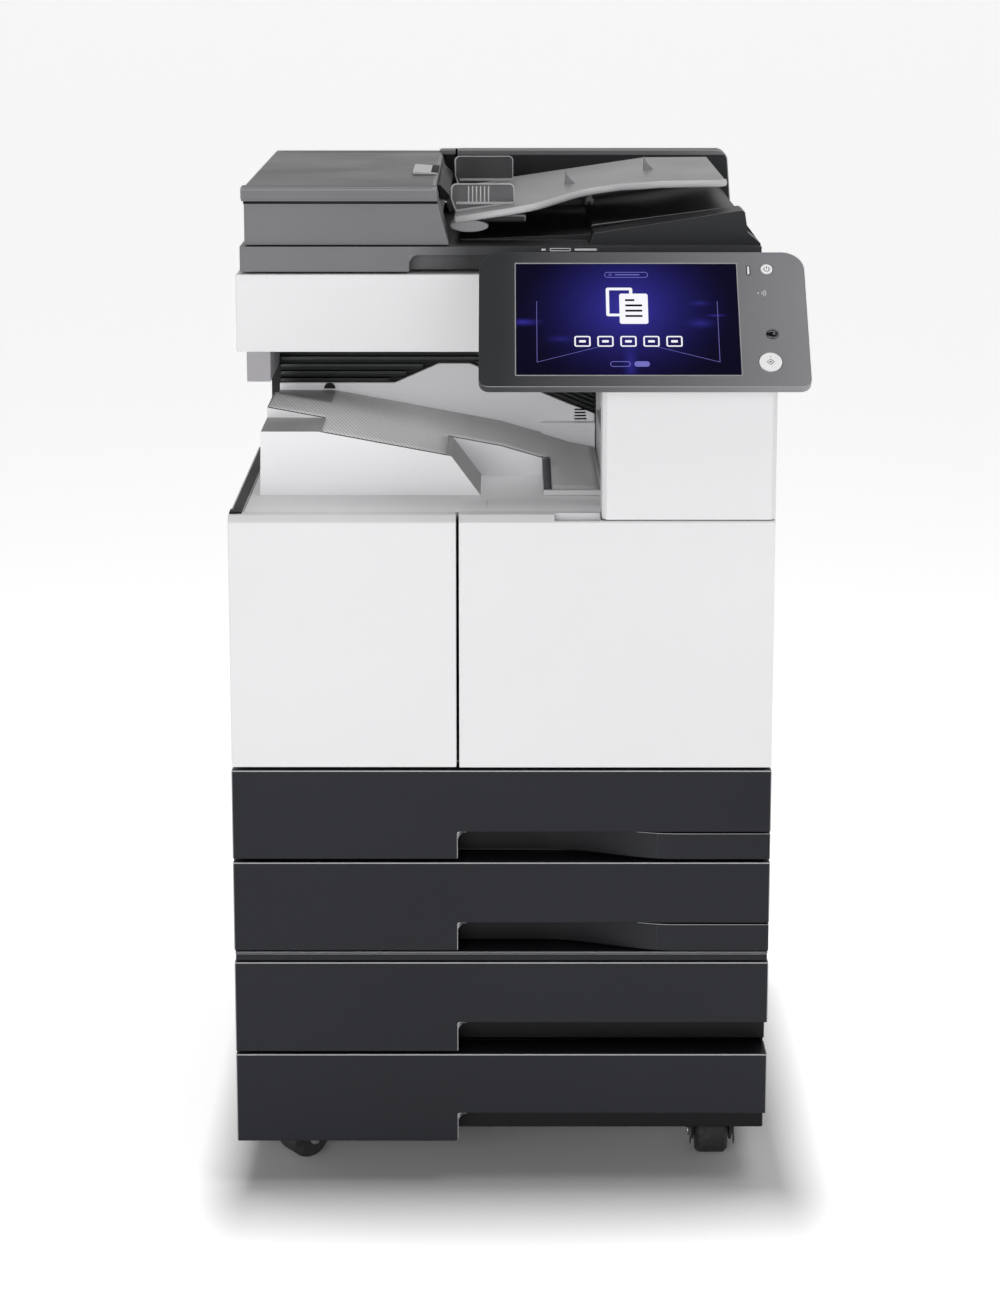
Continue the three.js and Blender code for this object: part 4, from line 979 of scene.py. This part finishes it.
def add_feeder_details():
    fins = Shape()
    for x, y, z in ((72, 346, 1068.6), (163, 380, 1082.2)):
        fins.prism([(x, z - 1), (x + 14, z + 0.6), (x + 4.5, z + 10), (x + 1, z + 17)], "y", (y, y + 2.2))
    fins.piece("input_tray_fins", "tray_plastic", "input_tray", bevel=0.4)
    foot = Shape()
    turns = [math.pi * k / 12 for k in range(24)]
    ellipse = [(-35 + 21 * math.cos(t), 1040 + 6.6 * math.sin(t)) for t in turns]
    foot.prism(ellipse, "y", (163, 200))
    foot.piece("input_tray_foot", "tray_plastic", "input_tray", bevel=2)
    rear_foot = Shape().box((-20, 27), (172, 210), (1043, 1052))
    rear_foot.piece("input_tray_foot_rear", "feeder_plastic", "input_tray", bevel=3, segments=3)
    knob = Shape()
    knob.lathe([(4, 1047), (5.5, 1048.5), (5.5, 1054), (3.5, 1056), (3.5, 1066)], "z", (100, 330, 0), 24)
    knob.piece("input_tray_knob", "feeder_plastic", "input_tray")
    ridges = Shape()
    for k in range(2):
        right, low, high = 262 - 6 * k, 1027 + 5 * k, 1048 + 4 * k
        edge = [(100, low + 3), (right, high + 3.5), (right, high), (100, low)]
        ridges.prism(edge, "y", (202 + 26 * k, 620))
    ridges.piece("landing_ridges", "feeder_plastic", "feeder", bevel=0.8)
    corner = Shape()
    arc = arc_points((-90.5, 1002.5), 9, 180, 90, 8)
    corner.prism([(-100.3, 1012.3)] + arc, "y", (130.1, 151))
    corner.piece("grip_corner", "feeder_plastic", "feeder")
    marks = Shape()
    marks.plate((43, 48), (1016.8, 1019), 0.7, "y", (129.7, 131))
    marks.plate((79, 103), (1016.8, 1019), 0.7, "y", (129.7, 131))
    outer = rounded_outline((52, 75), (1016.2, 1019.6), 1.6)
    inner = rounded_outline((53, 74), (1017.1, 1018.7), 0.7)
    marks.ring(outer, inner, "y", (129.7, 131))
    marks.piece("feeder_status_marks", "printed_white", "feeder")
    teeth = Shape()
    for k in range(6):
        across = 296 + 16.5 * k
        teeth.plate((-79.5, -71.5), (across, across + 10), 1.5, "z", (1085.6, 1088.4))
    teeth.piece("latch_teeth", "black_plastic", "cover_latch", bevel=0.4)
    seam = Shape().box((-270, -76), (628, 629.2), (1084.9, 1085.25))
    seam.piece("cover_seam", "black_plastic", "feeder_cover")


add_guide("front", 211.2, 1082, 6)
add_guide("rear", 514.2, 1089, 0)
add_tray_lip()
add_cover_flap()
add_feeder_details()


# ---- back and sides
class Wall:
    """An outer wall that faces along x or y, and the fittings that go on it."""

    def __init__(self, node, axis, out, body="main_body"):
        self.axis, self.out, self.body = axis, out, body
        limits = machine_box(node)["xy".index(axis)]
        self.face = max(limits) if out > 0 else min(limits)

    def span(self, depth):
        """The range across the face: from a little inside it to depth outside."""
        return sorted((self.face - self.out * 0.2, self.face + self.out * depth))

    def vent(self, name, across, heights, slats, material="white_plastic"):
        """Grille: a raised frame, a black sheet of painted shade for the dark inside, and flat slats."""
        inner = rounded_outline(narrowed(across, 3), narrowed(heights, 3), 1)
        grille = Shape()
        grille.ring(rounded_outline(across, heights, 3), inner, self.axis, self.span(1.4))
        pitch = (heights[1] - heights[0] - 6) / (slats + 0.5)
        for k in range(slats):
            low = heights[0] + 3 + pitch * (k + 0.5)
            slat = (low, low + pitch * 0.5)
            grille.plate(narrowed(across, 2.5), slat, 0.6, self.axis, self.span(1.2), 2)
        grille.piece(f"{name}_grille", material, self.body, bevel=0.25)
        # The dark ground is painted shade: a flat black sheet where the vent's inside would be.
        Shape().prism(inner, self.axis, self.span(0.3)).piece(f"{name}_ground", "black_plastic", self.body)

    def screws(self, name, places):
        """Pan-head screws with a cross recess."""
        heads, recesses = Shape(), Shape()
        face, out = self.face, self.out
        for across, height in places:
            centre = (0, across, height) if self.axis == "x" else (across, 0, height)
            head = [(3.7, face), (3.6, face + out * 0.8), (2.6, face + out * 1.5)]
            heads.lathe(head, self.axis, centre, 20)
            # The cross recesses are black plates: painted shade inside the recess.
            depths = sorted((face + out * 1.4, face + out * 1.62))
            for wide, tall in ((2.0, 0.45), (0.45, 2.0)):
                xs, zs = (across - wide, across + wide), (height - tall, height + tall)
                recesses.plate(xs, zs, 0.2, self.axis, depths, 2)
        heads.piece(f"{name}_screws", "steel", self.body)
        recesses.piece(f"{name}_screw_recesses", "black_plastic", self.body)

    def pocket(self, name, across, heights):
        """Finger pocket: a raised moulded rim round a black sheet of painted shade that stands for the
        hollow.
        """
        rim = Shape()
        inner = rounded_outline(narrowed(across, 2), narrowed(heights, 2), 5)
        rim.ring(rounded_outline(across, heights, 7), inner, self.axis, self.span(1.0))
        rim.piece(f"{name}_rim", "white_plastic", self.body, bevel=0.3)
        # The dark hollow is painted shade: a flat black sheet, not a recess.
        Shape().prism(inner, self.axis, self.span(0.2)).piece(f"{name}_hollow", "black_plastic", self.body)

    def seam(self, name, across, heights):
        seam = Shape().plate(across, heights, 0.3, self.axis, self.span(0.15), 2)
        seam.piece(f"{name}_seam", "black_plastic", self.body)


def add_ports(wall, left, high):
    """Plate with four sockets, high on the back wall."""
    plate_x, plate_z = (left + 220, left + 330), (high - 96, high - 44)
    Shape().plate(plate_x, plate_z, 3, "y", wall.span(0.8)).piece("port_plate", "steel", bevel=0.3)
    ports, tongues = Shape(), Shape()
    for start, width, height in ((10, 14, 12), (32, 13, 12), (54, 13, 6), (76, 22, 9)):
        x0, z0 = plate_x[0] + start, plate_z[0] + 22
        middle = z0 + height / 2
        ports.plate((x0, x0 + width), (z0, z0 + height), 1, "y", wall.span(1.0))
        tongues.plate((x0 + 3, x0 + width - 3), (middle - 0.8, middle + 0.8), 0.3, "y", wall.span(1.3), 2)
    ports.piece("port_openings", "black_plastic")
    tongues.piece("port_tongues", "rib_grey")


def add_back_details():
    (left, right), _, (low, high) = machine_box("rear_cover")
    cover = Wall("rear_cover", "y", 1)
    cover.vent("rear_lower_vent", (left + 40, left + 190), (low + 40, low + 120), 9)
    cover.vent("rear_upper_vent", (left + 40, left + 150), (high - 120, high - 40), 9)
    cover.vent("rear_fan_vent", (right - 130, right - 40), (high - 130, high - 40), 10)
    edge = 16
    rows = [low + edge, (low + high) / 2, high - edge]
    places = [(x, z) for z in rows for x in (left + edge, right - edge)] + [(0, low + edge), (0, high - edge)]
    cover.screws("rear_cover", places)
    add_ports(cover, left, high)
    column_wall = Wall("rear_column", "y", 1)
    column_wall.vent("column_vent", (-120, 60), (780, 850), 8, "column_plastic")
    column_wall.screws("column", [(-255, 770), (270, 770), (-255, 890), (270, 890)])
    scanner = Wall("scanner_base", "y", 1)
    scanner.screws("scanner", [(-270, 950), (-90, 950), (90, 950), (270, 950)])
    scanner.seam("scanner_back", (-286, 286), (925, 926))


LID_AXIS_Y, LID_AXIS_Z = 657, 996


def add_lid_hinges():
    """Two lid hinges: a bracket on the scanner, a leaf on the feeder and barrels on the lid's axis."""
    back = machine_box("feeder_base")[1][1]
    for name, x in (("left", -190), ("right", 190)):
        axis = (x, LID_AXIS_Y, LID_AXIS_Z)
        fixed = Shape()
        fixed.plate((x - 24, x + 24), (944, 988), 3, "y", (back - 2.2, back + 3.4))
        for middle in (-15, 15):
            ends = (middle - 7, middle + 7)
            fixed.lathe([(7.5, end) for end in ends], "x", axis, 24)
            fixed.box([x + end for end in ends], (back + 0.4, back + 3.4), (984, LID_AXIS_Z))
        fixed.piece(f"lid_hinge_bracket_{name}", "steel", bevel=0.6)
        moving = Shape()
        moving.plate((x - 16, x + 16), (1003, 1018), 3, "y", (back - 0.2, back + 2.6))
        moving.lathe([(6.8, -6.5), (6.8, 6.5)], "x", axis, 24)
        moving.box((x - 6.5, x + 6.5), (back + 0.2, back + 2.6), (LID_AXIS_Z, 1006))
        moving.piece(f"lid_hinge_leaf_{name}", "steel", "feeder", bevel=0.6)


def add_side_details():
    left = Wall("left_side_cover", "x", -1)
    left.vent("left_vent", (500, 630), (330, 420), 10)
    left.vent("left_upper_vent", (520, 630), (640, 700), 7)
    left.pocket("left_lift_pocket", (240, 380), (276, 304))
    left.seam("left_side", (30, 645), (470, 471.2))
    left.screws("left_side", [(50, 290), (630, 290), (50, 730), (630, 730)])
    for name, out in (("left", -1), ("right", 1)):
        cabinet = Wall("cabinet_shell", "x", out)
        cabinet.screws(f"cabinet_{name}", [(y, z) for y in (70, 630) for z in (82, 242)])
        cabinet.seam(f"cabinet_{name}", (60, 640), (151.5, 152.5))
    Wall("side_door", "x", 1, "side_door").pocket("side_door_pull", (118, 168), (640, 712))
    bypass = Wall("bypass_tray", "x", 1, "bypass_tray")
    bypass.pocket("bypass_pull", (312, 383), (676, 694))
    bypass.seam("bypass_fold", (200, 495), (560, 560.8))
    Wall("exit_housing", "x", 1).vent("exit_vent", (220, 380), (800, 860), 7)


add_back_details()
add_lid_hinges()
add_side_details()


# ---- studio
FLOOR_GLOW = 0.72
FOOTPRINT = (0.29, 0.315)
SHADOW_REACH = 0.17
SIDE_FALLOFF = 2.6  # the soft shadow ends sooner at the sides than at the front


def add_floor():
    size = 80.0
    mesh = bpy.data.meshes.new("studio_floor")
    corners = [(-size, -size, 0), (size, -size, 0), (size, size, 0), (-size, size, 0)]
    mesh.from_pydata(corners, [], [(0, 1, 2, 3)])
    floor = bpy.data.objects.new("studio_floor", mesh)
    bpy.context.scene.collection.objects.link(floor)
    shader = Shader("studio_floor")
    shader.set(Base_Color=(0.9, 0.9, 0.9, 1), Roughness=0.7, Emission_Color=(1.0, 1.0, 1.0, 1))
    x, y, _ = shader.axes()
    outside = []
    for place, half in zip((x, y), FOOTPRINT):
        beyond = shader.math("SUBTRACT", shader.math("ABSOLUTE", place), half)
        outside.append(shader.math("MAXIMUM", beyond, 0.0))
    outside[0] = shader.times(outside[0], SIDE_FALLOFF)
    squares = [shader.math("POWER", distance, 2.0) for distance in outside]
    away = shader.math("SQRT", shader.math("ADD", *squares))
    # The glow fades to nothing at the machine's footprint: a painted contact shadow round its base.
    shader.link(shader.ramp(away, 0.0, SHADOW_REACH, 0.0, FLOOR_GLOW), "Emission Strength")
    mesh.materials.append(shader.material)


def add_softbox(name, location, target, size, power):
    data = bpy.data.lights.new(name, "AREA")
    data.shape = "RECTANGLE"
    data.size, data.size_y = size
    data.energy = power
    lamp = bpy.data.objects.new(name, data)
    lamp.location = location
    aim = Vector(target) - Vector(location)
    lamp.rotation_euler = aim.to_track_quat("-Z", "Y").to_euler()
    bpy.context.scene.collection.objects.link(lamp)


# Heights on the unit sphere where the bright wall ends and the dim ceiling starts.
WALL_TOP, CEILING = 0.26, 0.50
CEILING_STRENGTH = 0.05


def add_room():
    """White studio walls all round that fade into a dim ceiling."""
    world = bpy.data.worlds.new("studio")
    world.use_nodes = True
    nodes, links = world.node_tree.nodes, world.node_tree.links
    background = nodes["Background"]
    background.inputs["Color"].default_value = (1.0, 1.0, 1.0, 1)
    direction = nodes.new("ShaderNodeTexCoord").outputs["Generated"]
    axes = nodes.new("ShaderNodeSeparateXYZ")
    links.new(direction, axes.inputs[0])
    fade = nodes.new("ShaderNodeMapRange")
    links.new(axes.outputs["Z"], fade.inputs["Value"])
    limits = (("From Min", WALL_TOP), ("From Max", CEILING), ("To Min", 1.0), ("To Max", CEILING_STRENGTH))
    for name, value in limits:
        fade.inputs[name].default_value = value
    links.new(fade.outputs["Result"], background.inputs["Strength"])
    bpy.context.scene.world = world


def add_lights():
    middle = (0, 0, 0.8)
    add_softbox("key", (-1.5, -4.6, 1.15), middle, (2.0, 2.0), 50)
    add_softbox("fill", (1.8, -4.4, 0.95), middle, (1.8, 1.8), 12)
    add_softbox("tray", (-0.08, -0.09, 0.9035), (-0.08, -0.09, 0.5), (0.32, 0.20), 0.12)
    add_softbox("edge", (0.0, 0.45, 3.0), (0, 0, 0.9), (3.0, 0.6), 20)
    add_softbox("top", (1.15, -0.85, 3.0), (0.4, -0.3, 0.9), (1.5, 1.1), 16)


LENS_MM = 86.58
CAMERA_PLACE = (-0.01718, -3.56392, 1.37997)
CAMERA_PITCH = 11.07
CAMERA_SHIFT = -0.10


def add_camera():
    data = bpy.data.cameras.new("camera")
    data.sensor_width = 36.0
    data.lens = LENS_MM
    data.shift_y = CAMERA_SHIFT
    data.clip_start, data.clip_end = 0.05, 300.0
    camera = bpy.data.objects.new("camera", data)
    camera.location = CAMERA_PLACE
    camera.rotation_euler = (math.radians(90 - CAMERA_PITCH), 0, 0)
    bpy.context.scene.collection.objects.link(camera)
    bpy.context.scene.camera = camera


add_floor()
add_room()
add_lights()
add_camera()
bpy.context.scene.view_settings.view_transform = "Standard"
